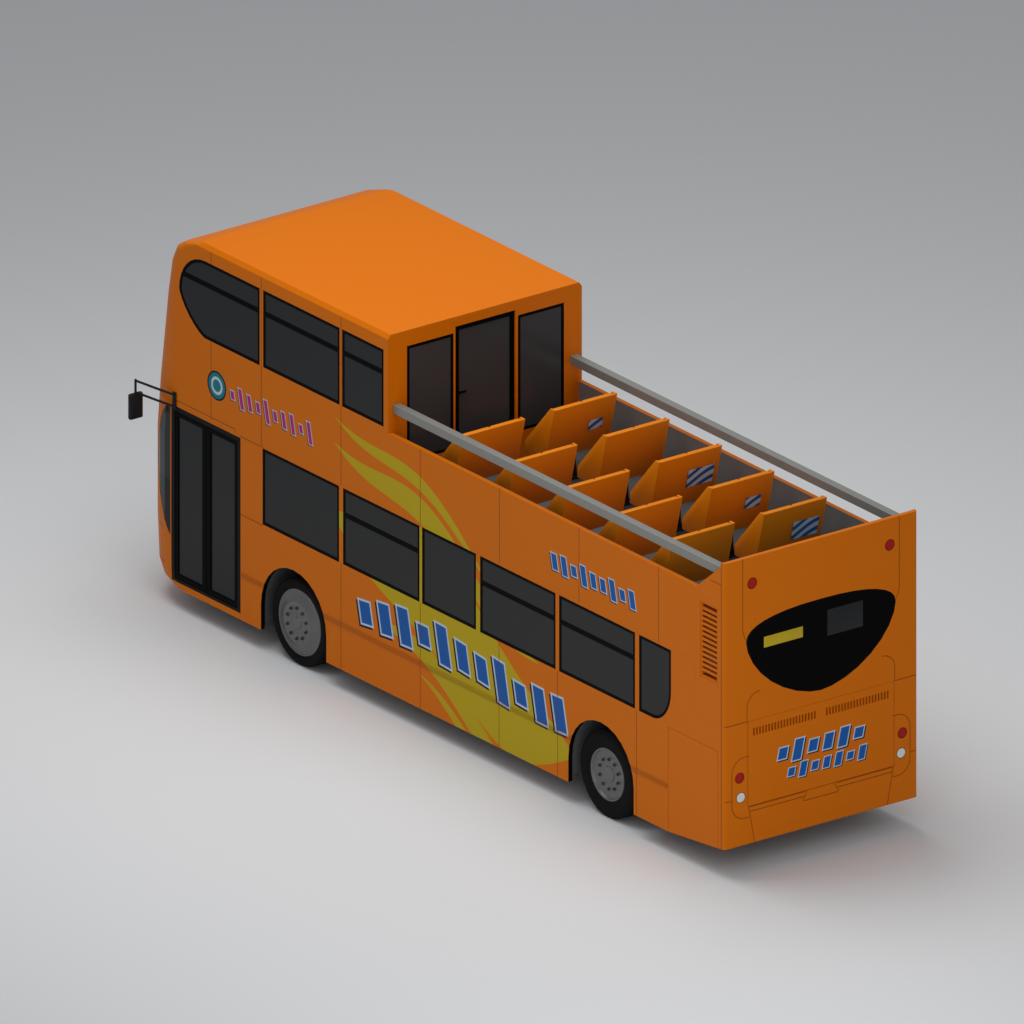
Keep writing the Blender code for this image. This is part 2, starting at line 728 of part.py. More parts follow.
def envelope(inset):
    """The closed solid that lies an inset within the body's outer skin, open-ended below if inset."""
    if inset in ENVELOPES:
        return ENVELOPES[inset]
    base = SKIRT_HEIGHT
    top = HEIGHT - inset
    rows = [
        (base + share * (top - base), setback * FACE_LEAN, corner)
        for share, setback, corner in FACE_ROW_SHARES
    ]
    if inset > 0:
        rows.insert(0, (base - OVERRUN, *rows[0][1:]))
    graph = bmesh.new()
    rings = []
    roof_edge = max(ROOF_EDGE - inset, 0.0)
    for height, setback, corner in rows:
        narrowing = roof_edge if height == top else 0.0
        outline = plan_outline(setback, corner, narrowing, inset)
        ring = [graph.verts.new((x, y, height)) for x, y in outline]
        rings.append(ring)
    for lower, upper in zip(rings, rings[1:]):
        for index in range(len(lower)):
            after = (index + 1) % len(lower)
            graph.faces.new((lower[index], upper[index], upper[after], lower[after]))
    graph.faces.new(rings[0])
    graph.faces.new(rings[-1][::-1])
    bmesh.ops.recalc_face_normals(graph, faces=graph.faces)
    ENVELOPES[inset] = as_cutter(f"envelope_{len(ENVELOPES)}", mesh_from("envelope", graph))
    return ENVELOPES[inset]


def skin(name, outer, inner, region):
    """The part of a wall, between two insets, that lies in a region."""
    panel = copied(region, name)
    keep_in(panel, envelope(outer))
    return cut(panel, envelope(inner))


def side_region(name, outline, side=1):
    """A slab that holds one side wall within an outline of the side view."""
    inner = HALF_WIDTH - FACE_CORNER_WIDTH
    low, high = sorted((side * inner, side * (HALF_WIDTH + OVERRUN)))
    return outline_solid(name, [outline], "side", low, high)


def lower_windows():
    """Outlines and top light bars of the lower side windows, from the rear."""
    run = LOWER_BAND_FRONT_STATION - LOWER_BAND_REAR_STATION
    found = []
    for start, end, has_bar in LOWER_WINDOW_SHARES:
        left = at(LOWER_BAND_REAR_STATION + start * run)
        right = at(LOWER_BAND_REAR_STATION + end * run)
        outline = rectangle(left, right, LOWER_GLASS_BOTTOM, LOWER_GLASS_TOP)
        if start == 0.0:
            centre = (left + TAIL_BOW_LENGTH, LOWER_GLASS_BOTTOM + TAIL_BOW_HEIGHT)
            bow = corner_arc(centre, -TAIL_BOW_LENGTH, -TAIL_BOW_HEIGHT)
            outline = bow + outline[1:]
        found.append((outline, LOWER_BAR_HEIGHT if has_bar else None))
    return found


def upper_windows():
    """Outlines and top light bars of the upper side windows, from the bulkhead forward."""
    run = UPPER_BAND_FRONT_STATION - UPPER_BAND_REAR_STATION
    found = []
    for start, end, has_bar in UPPER_WINDOW_SHARES:
        left = at(UPPER_BAND_REAR_STATION + start * run)
        right = at(UPPER_BAND_REAR_STATION + end * run)
        outline = rectangle(left, right, UPPER_GLASS_BOTTOM, UPPER_GLASS_TOP)
        if end == 1.0:
            centre = (right - BOW_LENGTH, BOW_CENTRE_HEIGHT)
            rise = UPPER_GLASS_TOP - BOW_CENTRE_HEIGHT
            drop = BOW_CENTRE_HEIGHT - UPPER_GLASS_BOTTOM
            upper = corner_arc(centre, BOW_LENGTH, rise, BOW_UPPER_POWER)
            lower = corner_arc(centre, BOW_LENGTH, -drop, BOW_LOWER_POWER)[::-1]
            outline = [outline[0]] + lower[:-1] + upper + [outline[3]]
        found.append((outline, UPPER_BAR_HEIGHT if has_bar else None))
    return found


def driver_window():
    """The offside window beside the driver."""
    return rectangle(
        at(DRIVER_WINDOW_REAR_STATION), at(DRIVER_WINDOW_FRONT_STATION),
        DRIVER_WINDOW_BOTTOM, LOWER_GLASS_TOP)


def corner_window():
    """Outline in side view of the window between the entrance and the windscreen."""
    rear = at(FACE_LOWER_STATION) + WINDOW_FRAME / 2
    length = CORNER_WINDOW_LENGTH - WINDOW_FRAME / 2
    centre = (rear, CORNER_WINDOW_CENTRE)
    rise = CORNER_WINDOW_TOP - CORNER_WINDOW_CENTRE
    drop = CORNER_WINDOW_CENTRE - CORNER_WINDOW_BOTTOM
    upper = corner_arc(centre, length, rise, BOW_UPPER_POWER)
    lower = corner_arc(centre, length, -drop, BOW_LOWER_POWER)[::-1]
    return lower[:-1] + upper


def tail_window():
    """The smile-shaped window of the rear face, as (across, up)."""
    centre = (0.0, TAIL_WINDOW_CENTRE)
    reach = TAIL_WINDOW_HALF_WIDTH
    upper = corner_arc(centre, reach, TAIL_WINDOW_RISE, TAIL_WINDOW_UPPER_POWER)
    lower = corner_arc(centre, reach, -TAIL_WINDOW_DROP, TAIL_WINDOW_LOWER_POWER)
    half = lower[::-1][:-1] + upper
    return half + [(-across, up) for across, up in reversed(half[1:-1])]


def pockets_of(outline, bar):
    """Outlines of the clear panes within a window: one, or two where a bar crosses it."""
    clear = inset_outline(outline, WINDOW_FRAME)
    if bar is None:
        return [clear]
    lower = []
    upper = []
    under = bar - WINDOW_BAR / 2
    over = bar + WINDOW_BAR / 2
    for first, second in zip(clear, clear[1:] + clear[:1]):
        for kept, edge, below in ((lower, under, True), (upper, over, False)):
            inside = first[1] <= edge if below else first[1] >= edge
            if inside:
                kept.append(first)
            if (first[1] - edge) * (second[1] - edge) < 0:
                share = (edge - first[1]) / (second[1] - first[1])
                kept.append((first[0] + share * (second[0] - first[0]), edge))
    return [lower, upper]


def glazing(name, windows, plane, low, high, liner_region):
    """Frames and panes in their openings, joined by a thin liner on the inside of the wall."""
    back = WALL + SEAM + LINER
    unit = skin(name, WALL + SEAM, back, liner_region)
    panes = []
    inner_pockets = []
    outer_pockets = []
    for index, (outline, bar) in enumerate(windows):
        shape = inset_outline(outline, SEAM)
        block = outline_solid(f"{name}_block_{index}", [shape], plane, low, high)
        keep_in(block, envelope(GLAZING_SINK))
        cut(block, envelope(back - LINER / 2))
        panes.append(block)
        for pocket in pockets_of(outline, bar):
            inner_pockets.append(outline_solid(f"{name}_in_{index}", [pocket], plane, low, high))
            outer_pockets.append(outline_solid(f"{name}_out_{index}", [pocket], plane, low, high))
    join(unit, *panes)
    recess = GLAZING_SINK + PANE_RECESS
    for pocket in inner_pockets:
        keep_in(pocket, envelope(recess + PANE_THICKNESS))
    for pocket in outer_pockets:
        cut(pocket, envelope(recess))
    return cut(unit, *inner_pockets, *outer_pockets)


def wall_holes(name, windows, low, high, plane="side"):
    """Cutters of a row of windows."""
    return [
        outline_solid(f"{name}_{index}", [outline], plane, low, high)
        for index, (outline, bar) in enumerate(windows)
    ]


def arch(name, station, radius, low, high):
    """A wheel arch cutter: a round top over upright sides, open below."""
    centre = (at(station), ARCH_CENTRE_HEIGHT)
    points = corner_arc(centre, radius, radius, steps=ARCH_STEPS // 2)
    points += corner_arc(centre, -radius, radius, steps=ARCH_STEPS // 2)[::-1][1:]
    foot = -OVERRUN
    points += [(at(station) - radius, foot), (at(station) + radius, foot)]
    return outline_solid(name, [points], "side", low, high)


def side_panels():
    """The four side walls, the roof, and their windows, arches and notches."""
    start = at(TAIL_PANEL_DEPTH) + SEAM
    face = at(FACE_LOWER_STATION)
    reach = (HALF_WIDTH - FACE_CORNER_WIDTH, HALF_WIDTH + OVERRUN)
    step = at(TAIL_SIDE_STEP_STATION)
    lower_outline = [
        (start, SKIRT_HEIGHT - OVERRUN), (face, SKIRT_HEIGHT - OVERRUN), (face, DECK_SEAM_HEIGHT),
        (step + SEAM, DECK_SEAM_HEIGHT), (step + SEAM, TAIL_SEAM_HEIGHT), (start, TAIL_SEAM_HEIGHT),
    ]
    upper_face = at(FACE_UPPER_STATION)
    upper_bottom = DECK_SEAM_HEIGHT + SEAM
    cover = at(BULKHEAD_STATION)
    roof_under = HEIGHT - WALL - SEAM
    wing_slope = (TAIL_TOP_HEIGHT - DECK_WALL_HEIGHT) / TAIL_WING_STATION
    wing_top = TAIL_TOP_HEIGHT - wing_slope * TAIL_PANEL_DEPTH
    upper_outline = [
        (start, TAIL_SEAM_HEIGHT + SEAM), (step, TAIL_SEAM_HEIGHT + SEAM), (step, upper_bottom),
        (upper_face, upper_bottom), (upper_face, roof_under), (cover, roof_under),
        (cover, DECK_WALL_HEIGHT), (at(TAIL_WING_STATION), DECK_WALL_HEIGHT), (start, wing_top),
    ]
    undercut = outline_solid(
        "tail_undercut",
        [[(at(0) - OVERRUN, SKIRT_HEIGHT - OVERRUN), (at(TAIL_UNDERCUT_STATION), SKIRT_HEIGHT - OVERRUN),
          (at(TAIL_UNDERCUT_STATION), SKIRT_HEIGHT), (at(0), SKIRT_HEIGHT + TAIL_UNDERCUT_RISE),
          (at(0) - OVERRUN, SKIRT_HEIGHT + TAIL_UNDERCUT_RISE)]],
        "side", -HALF_WIDTH - OVERRUN, HALF_WIDTH + OVERRUN)
    region = side_region("lower_region", lower_outline)
    lower_left = skin("lower_left", 0.0, WALL, region)
    cut(lower_left, undercut, *wall_holes("lower_hole", lower_windows(), *reach),
        arch("front_arch", FRONT_AXLE_STATION, ARCH_HALF_WIDTH, *reach),
        arch("rear_arch", REAR_AXLE_STATION, ARCH_HALF_WIDTH, *reach))
    lower_right = mirrored(lower_left, "lower_right")
    doorway = box(
        "doorway", (at(DOOR_REAR_STATION), reach[0], DOOR_BOTTOM), (face + OVERRUN, reach[1], DOOR_TOP))
    service = box(
        "service_opening", (at(SERVICE_REAR_STATION), reach[0], SKIRT_HEIGHT - OVERRUN),
        (at(SERVICE_FRONT_STATION), reach[1], SERVICE_TOP))
    cut(lower_left, doorway, service)
    cut(lower_right, outline_solid(
        "driver_hole", [driver_window()], "side", -reach[1], -reach[0]))
    region = side_region("upper_region", upper_outline)
    upper_left = skin("upper_left", 0.0, WALL, region)
    cut(upper_left, *wall_holes("upper_hole", upper_windows(), *reach))
    upper_right = mirrored(upper_left, "upper_right")
    grille = box(
        "grille_opening", (at(GRILLE_REAR_STATION), reach[0], GRILLE_BOTTOM),
        (at(GRILLE_FRONT_STATION), reach[1], GRILLE_TOP))
    cut(upper_left, grille)
    roof_region = box(
        "roof_region", (cover, -HALF_WIDTH - OVERRUN, HEIGHT - WALL),
        (upper_face, HALF_WIDTH + OVERRUN, HEIGHT + OVERRUN))
    roof = keep_in(roof_region, envelope(0.0))
    as_part(lower_left, "side_panel_lower_left", "orange_paint")
    as_part(lower_right, "side_panel_lower_right", "orange_paint")
    as_part(upper_left, "side_panel_upper_left", "orange_paint")
    as_part(upper_right, "side_panel_upper_right", "orange_paint")
    as_part(roof, "roof_panel", "orange_paint")
    return undercut


def screen(half_width, bottom, top):
    """A window of the face, as (across, up)."""
    return rounded(-half_width, half_width, bottom, top, SCREEN_CORNER_RADIUS)


def headlamp_outline():
    """The nearside headlamp's opening, as (across, up)."""
    return rounded(HEADLAMP_INNER, HEADLAMP_OUTER, HEADLAMP_BOTTOM, HEADLAMP_TOP, HEADLAMP_CORNER)


def front_panels():
    """The two shells of the front end, with their windows and headlamps."""
    tip = at(LENGTH) + OVERRUN
    back = at(FACE_STATION) - FACE_LEAN / 2
    side_reach = (HALF_WIDTH - FACE_CORNER_WIDTH, HALF_WIDTH + OVERRUN)
    lower = box(
        "face_lower_region", (at(FACE_LOWER_STATION) + SEAM, -HALF_WIDTH - OVERRUN, SKIRT_HEIGHT - OVERRUN),
        (tip, HALF_WIDTH + OVERRUN, DECK_SEAM_HEIGHT))
    lower = skin("face_lower", 0.0, WALL, lower)
    face_start = at(FACE_STATION)
    near = outline_solid("corner_near", [corner_window()], "side", *side_reach)
    off = outline_solid("corner_off", [corner_window()], "side", -side_reach[1], -side_reach[0])
    windscreen = outline_solid(
        "windscreen_hole", [screen(WINDSCREEN_HALF_WIDTH, WINDSCREEN_BOTTOM, WINDSCREEN_TOP)],
        "end", face_start, tip)
    lamp_near = outline_solid("lamp_near", [headlamp_outline()], "end", face_start, tip)
    lamp_off = mirrored(lamp_near, "lamp_off")
    cut(lower, near, off, windscreen, lamp_near, lamp_off)
    upper = box(
        "face_upper_region", (at(FACE_UPPER_STATION) + SEAM, -HALF_WIDTH - OVERRUN, DECK_SEAM_HEIGHT + SEAM),
        (tip, HALF_WIDTH + OVERRUN, HEIGHT + OVERRUN))
    upper = skin("face_upper", 0.0, WALL, upper)
    holes = wall_holes("face_side_hole", upper_windows()[-1:], *side_reach)
    off_holes = [mirrored(hole, "face_off_hole") for hole in holes]
    upper_screen = outline_solid(
        "upper_screen_hole", [screen(UPPER_SCREEN_HALF_WIDTH, UPPER_SCREEN_BOTTOM, UPPER_SCREEN_TOP)],
        "end", back, tip)
    sign = outline_solid(
        "sign_hole", [screen(SIGN_HALF_WIDTH, SIGN_BOTTOM, SIGN_TOP)], "end", back, tip)
    cut(upper, *holes, *off_holes, upper_screen, sign)
    as_part(lower, "front_panel_lower", "orange_paint")
    as_part(upper, "front_panel_upper", "orange_paint")


def front_glazing():
    """The windscreen with its corner windows, and the upper screen with the blank sign glass."""
    tip = at(LENGTH) + OVERRUN
    face_start = at(FACE_STATION)
    back = face_start - FACE_LEAN / 2
    side_reach = (HALF_WIDTH - FACE_CORNER_WIDTH, HALF_WIDTH + OVERRUN)
    region = box(
        "lower_liner_region",
        (at(FACE_LOWER_STATION) + WINDOW_FRAME / 2, -HALF_WIDTH, CORNER_WINDOW_BOTTOM + LINER_MARGIN),
        (tip, HALF_WIDTH, CORNER_WINDOW_TOP + LINER_MARGIN))
    outline = screen(WINDSCREEN_HALF_WIDTH, WINDSCREEN_BOTTOM, WINDSCREEN_TOP)
    front = glazing("windscreen", [(outline, None)], "end", face_start, tip, region)
    for side in (1, -1):
        low, high = sorted((side * side_reach[0], side * side_reach[1]))
        shape = inset_outline(corner_window(), SEAM)
        pane = outline_solid("corner_pane", [shape], "side", low, high)
        keep_in(pane, envelope(GLAZING_SINK))
        cut(pane, envelope(WALL + SEAM + LINER / 2))
        join(front, pane)
    as_part(front, "windscreen", "dark_glass")
    region = box(
        "upper_liner_region",
        (at(UPPER_BAND_FRONT_STATION) + LINER_MARGIN, -HALF_WIDTH, UPPER_FLOOR_HEIGHT + LINER_MARGIN),
        (tip, HALF_WIDTH, UPPER_SCREEN_TOP + LINER_MARGIN))
    windows = [
        (screen(UPPER_SCREEN_HALF_WIDTH, UPPER_SCREEN_BOTTOM, UPPER_SCREEN_TOP), None),
        (screen(SIGN_HALF_WIDTH, SIGN_BOTTOM, SIGN_TOP), None),
    ]
    upper = glazing("upper_screen", windows, "end", back, tip, region)
    as_part(upper, "upper_screen", "dark_glass")


def headlamps():
    """Each headlamp: a bowl that fills its opening, with two round lenses set back in it."""
    tip = at(LENGTH) + OVERRUN
    start = at(FACE_STATION)
    shape = inset_outline(headlamp_outline(), SEAM)
    lamp = outline_solid("headlamp", [shape], "end", start, tip)
    keep_in(lamp, envelope(GLAZING_SINK))
    cut(lamp, envelope(HEADLAMP_DEPTH))
    middle = (HEADLAMP_INNER + HEADLAMP_OUTER) / 2
    height = (HEADLAMP_BOTTOM + HEADLAMP_TOP) / 2
    for offset in (-LENS_SPREAD, LENS_SPREAD):
        lens = rod("lens", LENS_RADIUS, (start, middle + offset, height), (tip, middle + offset, height))
        cut(lens, envelope(GLAZING_SINK + LENS_RECESS))
        cut(lamp, lens)
    as_part(lamp, "headlamp_left", "lamp_clear")
    as_part(mirrored(lamp, "headlamp_off"), "headlamp_right", "lamp_clear")


def side_glazing():
    """The joined windows of each deck and side."""
    reach = (HALF_WIDTH - FACE_CORNER_WIDTH, HALF_WIDTH + OVERRUN)
    lower_region = side_region("lower_liner", rectangle(
        at(LOWER_BAND_REAR_STATION) - LINER_MARGIN, at(LOWER_BAND_FRONT_STATION) + LINER_MARGIN,
        LOWER_GLASS_BOTTOM - LINER_MARGIN, LOWER_GLASS_TOP + LINER_MARGIN))
    left = glazing("windows_lower_left", lower_windows(), "side", *reach, lower_region)
    right_blank = mirrored(left, "windows_lower_right")
    as_part(left, "windows_lower_left", "dark_glass")
    driver_region = side_region("driver_liner", rectangle(
        at(LOWER_BAND_FRONT_STATION) + LINER_MARGIN / 2, at(DRIVER_WINDOW_FRONT_STATION) + LINER_MARGIN,
        LOWER_GLASS_BOTTOM - LINER_MARGIN, LOWER_GLASS_TOP + LINER_MARGIN))
    driver = glazing("driver_glass", [(driver_window(), None)], "side", *reach, driver_region)
    join(right_blank, mirrored(driver, "driver_glass_off"))
    as_part(right_blank, "windows_lower_right", "dark_glass")
    upper_region = side_region("upper_liner", rectangle(
        at(BULKHEAD_STATION + BULKHEAD_THICKNESS) + SEAM, at(UPPER_BAND_FRONT_STATION) + LINER_MARGIN / 2,
        UPPER_GLASS_BOTTOM - LINER_MARGIN, UPPER_GLASS_TOP + LINER_MARGIN))
    upper = glazing("windows_upper_left", upper_windows(), "side", *reach, upper_region)
    upper_off = mirrored(upper, "windows_upper_right")
    as_part(upper, "windows_upper_left", "dark_glass")
    as_part(upper_off, "windows_upper_right", "dark_glass")


def rear_panels(undercut):
    """The rear face: upper panel with its window, lower panel with its lamps, and the engine lid."""
    back = at(0) - OVERRUN
    front = at(TAIL_PANEL_DEPTH)
    upper = box(
        "tail_upper_region", (back, -HALF_WIDTH - OVERRUN, TAIL_SEAM_HEIGHT + SEAM),
        (front, HALF_WIDTH + OVERRUN, TAIL_TOP_HEIGHT))
    upper = skin("tail_upper", 0.0, WALL, upper)
    window = outline_solid("tail_window_hole", [tail_window()], "end", back, front + OVERRUN)
    markers = [
        rod("marker_hole", MARKER_RADIUS, (back, side * MARKER_OFFSET, MARKER_HEIGHT),
            (front + OVERRUN, side * MARKER_OFFSET, MARKER_HEIGHT), LAMP_SEGMENTS)
        for side in (1, -1)
    ]
    cut(upper, window, *markers)
    as_part(upper, "rear_panel_upper", "orange_paint")
    lower = box(
        "tail_lower_region", (back, -HALF_WIDTH - OVERRUN, SKIRT_HEIGHT - OVERRUN),
        (front, HALF_WIDTH + OVERRUN, TAIL_SEAM_HEIGHT))
    lower = skin("tail_lower", 0.0, WALL, lower)
    opening = box(
        "engine_opening", (back, -ENGINE_LID_HALF_WIDTH, ENGINE_LID_BOTTOM),
        (front + OVERRUN, ENGINE_LID_HALF_WIDTH, TAIL_SEAM_HEIGHT + OVERRUN))
    lamp_holes = []
    for side in (1, -1):
        for offset, height in ((LAMP_RED_OFFSET, LAMP_RED_HEIGHT), (LAMP_WHITE_OFFSET, LAMP_WHITE_HEIGHT)):
            lamp_holes.append(rod(
                "lamp_hole", LAMP_RADIUS, (back, side * offset, height),
                (front + OVERRUN, side * offset, height), LAMP_SEGMENTS))
    cut(lower, undercut, opening, *lamp_holes)
    as_part(lower, "rear_panel_lower", "orange_paint")


def engine_lid():
    """The lid over the engine, hung at its top edge, with two slotted vents."""
    back = at(0) - OVERRUN
    half = ENGINE_LID_HALF_WIDTH - LID_GAP
    region = box(
        "lid_region", (back, -half, ENGINE_LID_BOTTOM + LID_GAP),
        (at(WALL) + OVERRUN, half, TAIL_SEAM_HEIGHT - LID_GAP))
    lid = skin("lid", 0.0, WALL, region)
    pitch = (VENT_OUTER - VENT_INNER) / VENT_SLOTS
    slot = pitch * VENT_SLOT_SHARE
    slots = None
    for side in (1, -1):
        for index in range(VENT_SLOTS):
            middle = side * (VENT_INNER + pitch * (index + 1 / 2))
            piece = box(
                "vent_slot", (back, middle - slot / 2, VENT_HEIGHT - VENT_DEPTH / 2),
                (at(WALL) + OVERRUN, middle + slot / 2, VENT_HEIGHT + VENT_DEPTH / 2))
            slots = merged(slots, piece)
    cut(lid, slots)
    axis = (at(0) + HINGE_WEB, TAIL_SEAM_HEIGHT - LID_GAP / 2)
    hinge_line(
        bpy.data.objects["rear_panel_upper"], lid, (axis[0], -half, axis[1]), (axis[0], half, axis[1]),
        (0.0, 0.0, LID_GAP / 2 + SEAM), (0.0, 0.0, -LID_GAP / 2))
    as_part(lid, "engine_lid", "orange_paint", (axis[0], 0.0, axis[1]))


def merged(first, second):
    """Put separate solids that do not touch in one construction object."""
    if first is None:
        return second
    graph = bmesh.new()
    graph.from_mesh(first.data)
    graph.from_mesh(second.data)
    graph.to_mesh(first.data)
    graph.free()
    bpy.data.objects.remove(second, do_unlink=True)
    return first


def service_panel(undercut):
    """The nearside engine bay panel, hung at its top edge."""
    region = side_region("service_region", rectangle(
        at(SERVICE_REAR_STATION) + LID_GAP, at(SERVICE_FRONT_STATION) - LID_GAP,
        SKIRT_HEIGHT - OVERRUN, SERVICE_TOP - LID_GAP))
    panel = skin("service", 0.0, WALL, region)
    cut(panel, undercut)
    middle = at((SERVICE_REAR_STATION + SERVICE_FRONT_STATION) / 2)
    axis = (HALF_WIDTH - HINGE_WEB, SERVICE_TOP - LID_GAP / 2)
    hinge_line(
        bpy.data.objects["side_panel_lower_left"], panel,
        (at(SERVICE_REAR_STATION) + LID_GAP, *axis), (at(SERVICE_FRONT_STATION) - LID_GAP, *axis),
        (0.0, 0.0, LID_GAP / 2), (0.0, 0.0, -LID_GAP / 2))
    as_part(panel, "engine_side_panel", "orange_paint", (middle, *axis))


def rear_glazing():
    """The dark rear window, with a rim behind the panel."""
    back = at(0) + GLAZING_SINK
    inner = at(WALL) + SEAM
    shape = inset_outline(tail_window(), SEAM)
    pane = outline_solid("tail_pane", [shape], "end", back, inner + LINER)
    pocket = outline_solid(
        "tail_pocket", [inset_outline(tail_window(), WINDOW_FRAME)], "end",
        back + PANE_THICKNESS + PANE_RECESS, inner + LINER + OVERRUN)
    top = TAIL_WINDOW_CENTRE + TAIL_WINDOW_RISE
    reach = TAIL_WINDOW_HALF_WIDTH + LINER_MARGIN
    floor_gap = UPPER_FLOOR_UNDERSIDE - LINER
    rim = box(
        "tail_rim", (inner, -reach, UPPER_FLOOR_HEIGHT + LINER), (inner + LINER, reach, top + LINER_MARGIN))
    cut(pane, box(
        "floor_edge", (inner - SEAM, -reach, floor_gap),
        (inner + LINER + OVERRUN, reach, UPPER_FLOOR_HEIGHT + LINER)))
    join(pane, rim)
    cut(pane, pocket)
    as_part(pane, "rear_window", "dark_glass")


def rear_lamps():
    """Lamp pairs low down on each side, and the two markers, each on a plate behind the panel."""
    face = at(0) + LAMP_SINK
    inner = at(WALL) + SEAM
    radius = LAMP_RADIUS - SEAM
    spread = LAMP_RADIUS + LAMP_BACK_MARGIN
    plate = box(
        "lamp_plate",
        (inner, ENGINE_LID_HALF_WIDTH + LID_GAP, LAMP_WHITE_HEIGHT - spread),
        (inner + LAMP_BACK, LAMP_RED_OFFSET + spread, LAMP_RED_HEIGHT + spread))
    lenses = [
        rod("lamp_lens", radius, (inner + LAMP_BACK / 2, offset, height), (face, offset, height), LAMP_SEGMENTS)
        for offset, height in ((LAMP_RED_OFFSET, LAMP_RED_HEIGHT), (LAMP_WHITE_OFFSET, LAMP_WHITE_HEIGHT))
    ]
    join(plate, *lenses)
    as_part(plate, "rear_lamps_left", "lamp_red")
    as_part(mirrored(plate, "rear_lamps_off"), "rear_lamps_right", "lamp_red")
    strip = box(
        "marker_strip", (inner, -MARKER_OFFSET, MARKER_HEIGHT - LAMP_BACK),
        (inner + LAMP_BACK, MARKER_OFFSET, MARKER_HEIGHT + LAMP_BACK))
    markers = [
        rod("marker_lens", MARKER_RADIUS - SEAM,
            (inner + LAMP_BACK / 2, side * MARKER_OFFSET, MARKER_HEIGHT),
            (face, side * MARKER_OFFSET, MARKER_HEIGHT), LAMP_SEGMENTS)
        for side in (1, -1)
    ]
    join(strip, *markers)
    as_part(strip, "marker_lamps", "lamp_red")


def air_grille():
    """The slatted air grille of the engine bay, in the nearside panel."""
    outer = HALF_WIDTH - GRILLE_SINK
    inner = HALF_WIDTH - WALL
    left = at(GRILLE_REAR_STATION) + SEAM
    right = at(GRILLE_FRONT_STATION) - SEAM
    bottom = GRILLE_BOTTOM + SEAM
    top = GRILLE_TOP - SEAM
    frame = outline_solid(
        "grille", [rectangle(left, right, bottom, top), rectangle(
            left + GRILLE_FRAME, right - GRILLE_FRAME, bottom + GRILLE_FRAME, top - GRILLE_FRAME)],
        "side", inner, outer)
    pitch = (top - bottom - 2 * GRILLE_FRAME) / GRILLE_SLATS
    slats = None
    for index in range(GRILLE_SLATS - 1):
        height = bottom + GRILLE_FRAME + pitch * (index + 1)
        half = pitch * GRILLE_SLAT_SHARE / 2
        slat = box(
            "slat", (left + GRILLE_FRAME / 2, outer - GRILLE_SLAT_DEPTH, height - half),
            (right - GRILLE_FRAME / 2, outer - SEAM, height + half))
        slats = merged(slats, slat)
    join(frame, slats)
    backing = box(
        "grille_backing", (left - LINER_MARGIN, INSIDE_HALF_WIDTH - LINER, bottom - LINER_MARGIN),
        (right + LINER_MARGIN, INSIDE_HALF_WIDTH, top + LINER_MARGIN))
    cut(backing, box(
        "floor_strip", (left - WALL, INSIDE_HALF_WIDTH - OVERRUN, UPPER_FLOOR_UNDERSIDE - LINER),
        (right + WALL, HALF_WIDTH, UPPER_FLOOR_HEIGHT + LINER)))
    neck = box(
        "grille_neck", (left + SEAM, INSIDE_HALF_WIDTH - LINER / 2, UPPER_FLOOR_HEIGHT + LINER + SEAM),
        (left + GRILLE_FRAME - SEAM, inner + LINER, top - SEAM))
    low_neck = box(
        "grille_low_neck", (left + SEAM, INSIDE_HALF_WIDTH - LINER / 2, bottom + SEAM),
        (left + GRILLE_FRAME - SEAM, inner + LINER, UPPER_FLOOR_UNDERSIDE - LINER - SEAM))
    join(frame, neck, low_neck, backing)
    as_part(frame, "air_grille", "black_rubber")


def entrance():
    """The black door frame and its two leaves, hung at the outer posts and opening inward."""
    left = at(DOOR_REAR_STATION) + SEAM
    right = at(FACE_LOWER_STATION)
    bottom = DOOR_BOTTOM + SEAM
    top = DOOR_TOP - SEAM
    region = side_region("door_region", rectangle(left, right, bottom, top))
    frame = skin("door_frame", GLAZING_SINK, WALL, region)
    inner = rectangle(
        left + DOOR_FRAME, right - DOOR_FRAME, bottom + DOOR_FRAME_THRESHOLD, top - DOOR_FRAME)
    cut(frame, side_region("door_clear", inner))
    outer_face = HALF_WIDTH - DOOR_LEAF_SINK
    inner_face = outer_face - DOOR_LEAF_THICKNESS
    clear_left = left + DOOR_FRAME + LID_GAP
    clear_right = right - DOOR_FRAME - LID_GAP
    low = bottom + DOOR_FRAME_THRESHOLD + LID_GAP
    high = top - DOOR_FRAME - LID_GAP
    middle = (clear_left + clear_right) / 2
    leaves = (
        ("entrance_leaf_rear", clear_left, middle - LID_GAP / 2, clear_left - LID_GAP / 2, -LID_GAP / 2),
        ("entrance_leaf_front", middle + LID_GAP / 2, clear_right, clear_right + LID_GAP / 2, LID_GAP / 2),
    )
    for name, start, end, hinge, outward in leaves:
        leaf = outline_solid(name, [rectangle(start, end, low, high)], "side", inner_face, outer_face)
        edges = (DOOR_LEAF_FRAME, DOOR_MEETING_FRAME)
        rear_edge, front_edge = edges if outward < 0 else edges[::-1]
        clear = rectangle(
            start + rear_edge, end - front_edge, low + DOOR_LEAF_BOTTOM_RAIL, high - DOOR_LEAF_FRAME)
        middle_face = (inner_face + outer_face) / 2
        half_pane = PANE_THICKNESS / 2
        outer = outline_solid("leaf_out", [clear], "side", middle_face + half_pane, outer_face + OVERRUN)
        inside = outline_solid("leaf_in", [clear], "side", inner_face - OVERRUN, middle_face - half_pane)
        cut(leaf, outer, inside)
        hinge_line(
            frame, leaf, (hinge, inner_face, low), (hinge, inner_face, high),
            (outward, 0.0, 0.0), (-outward, 0.0, 0.0))
        as_part(leaf, name, "dark_glass", (hinge, inner_face, low))
    as_part(frame, "entrance_frame", "black_rubber")


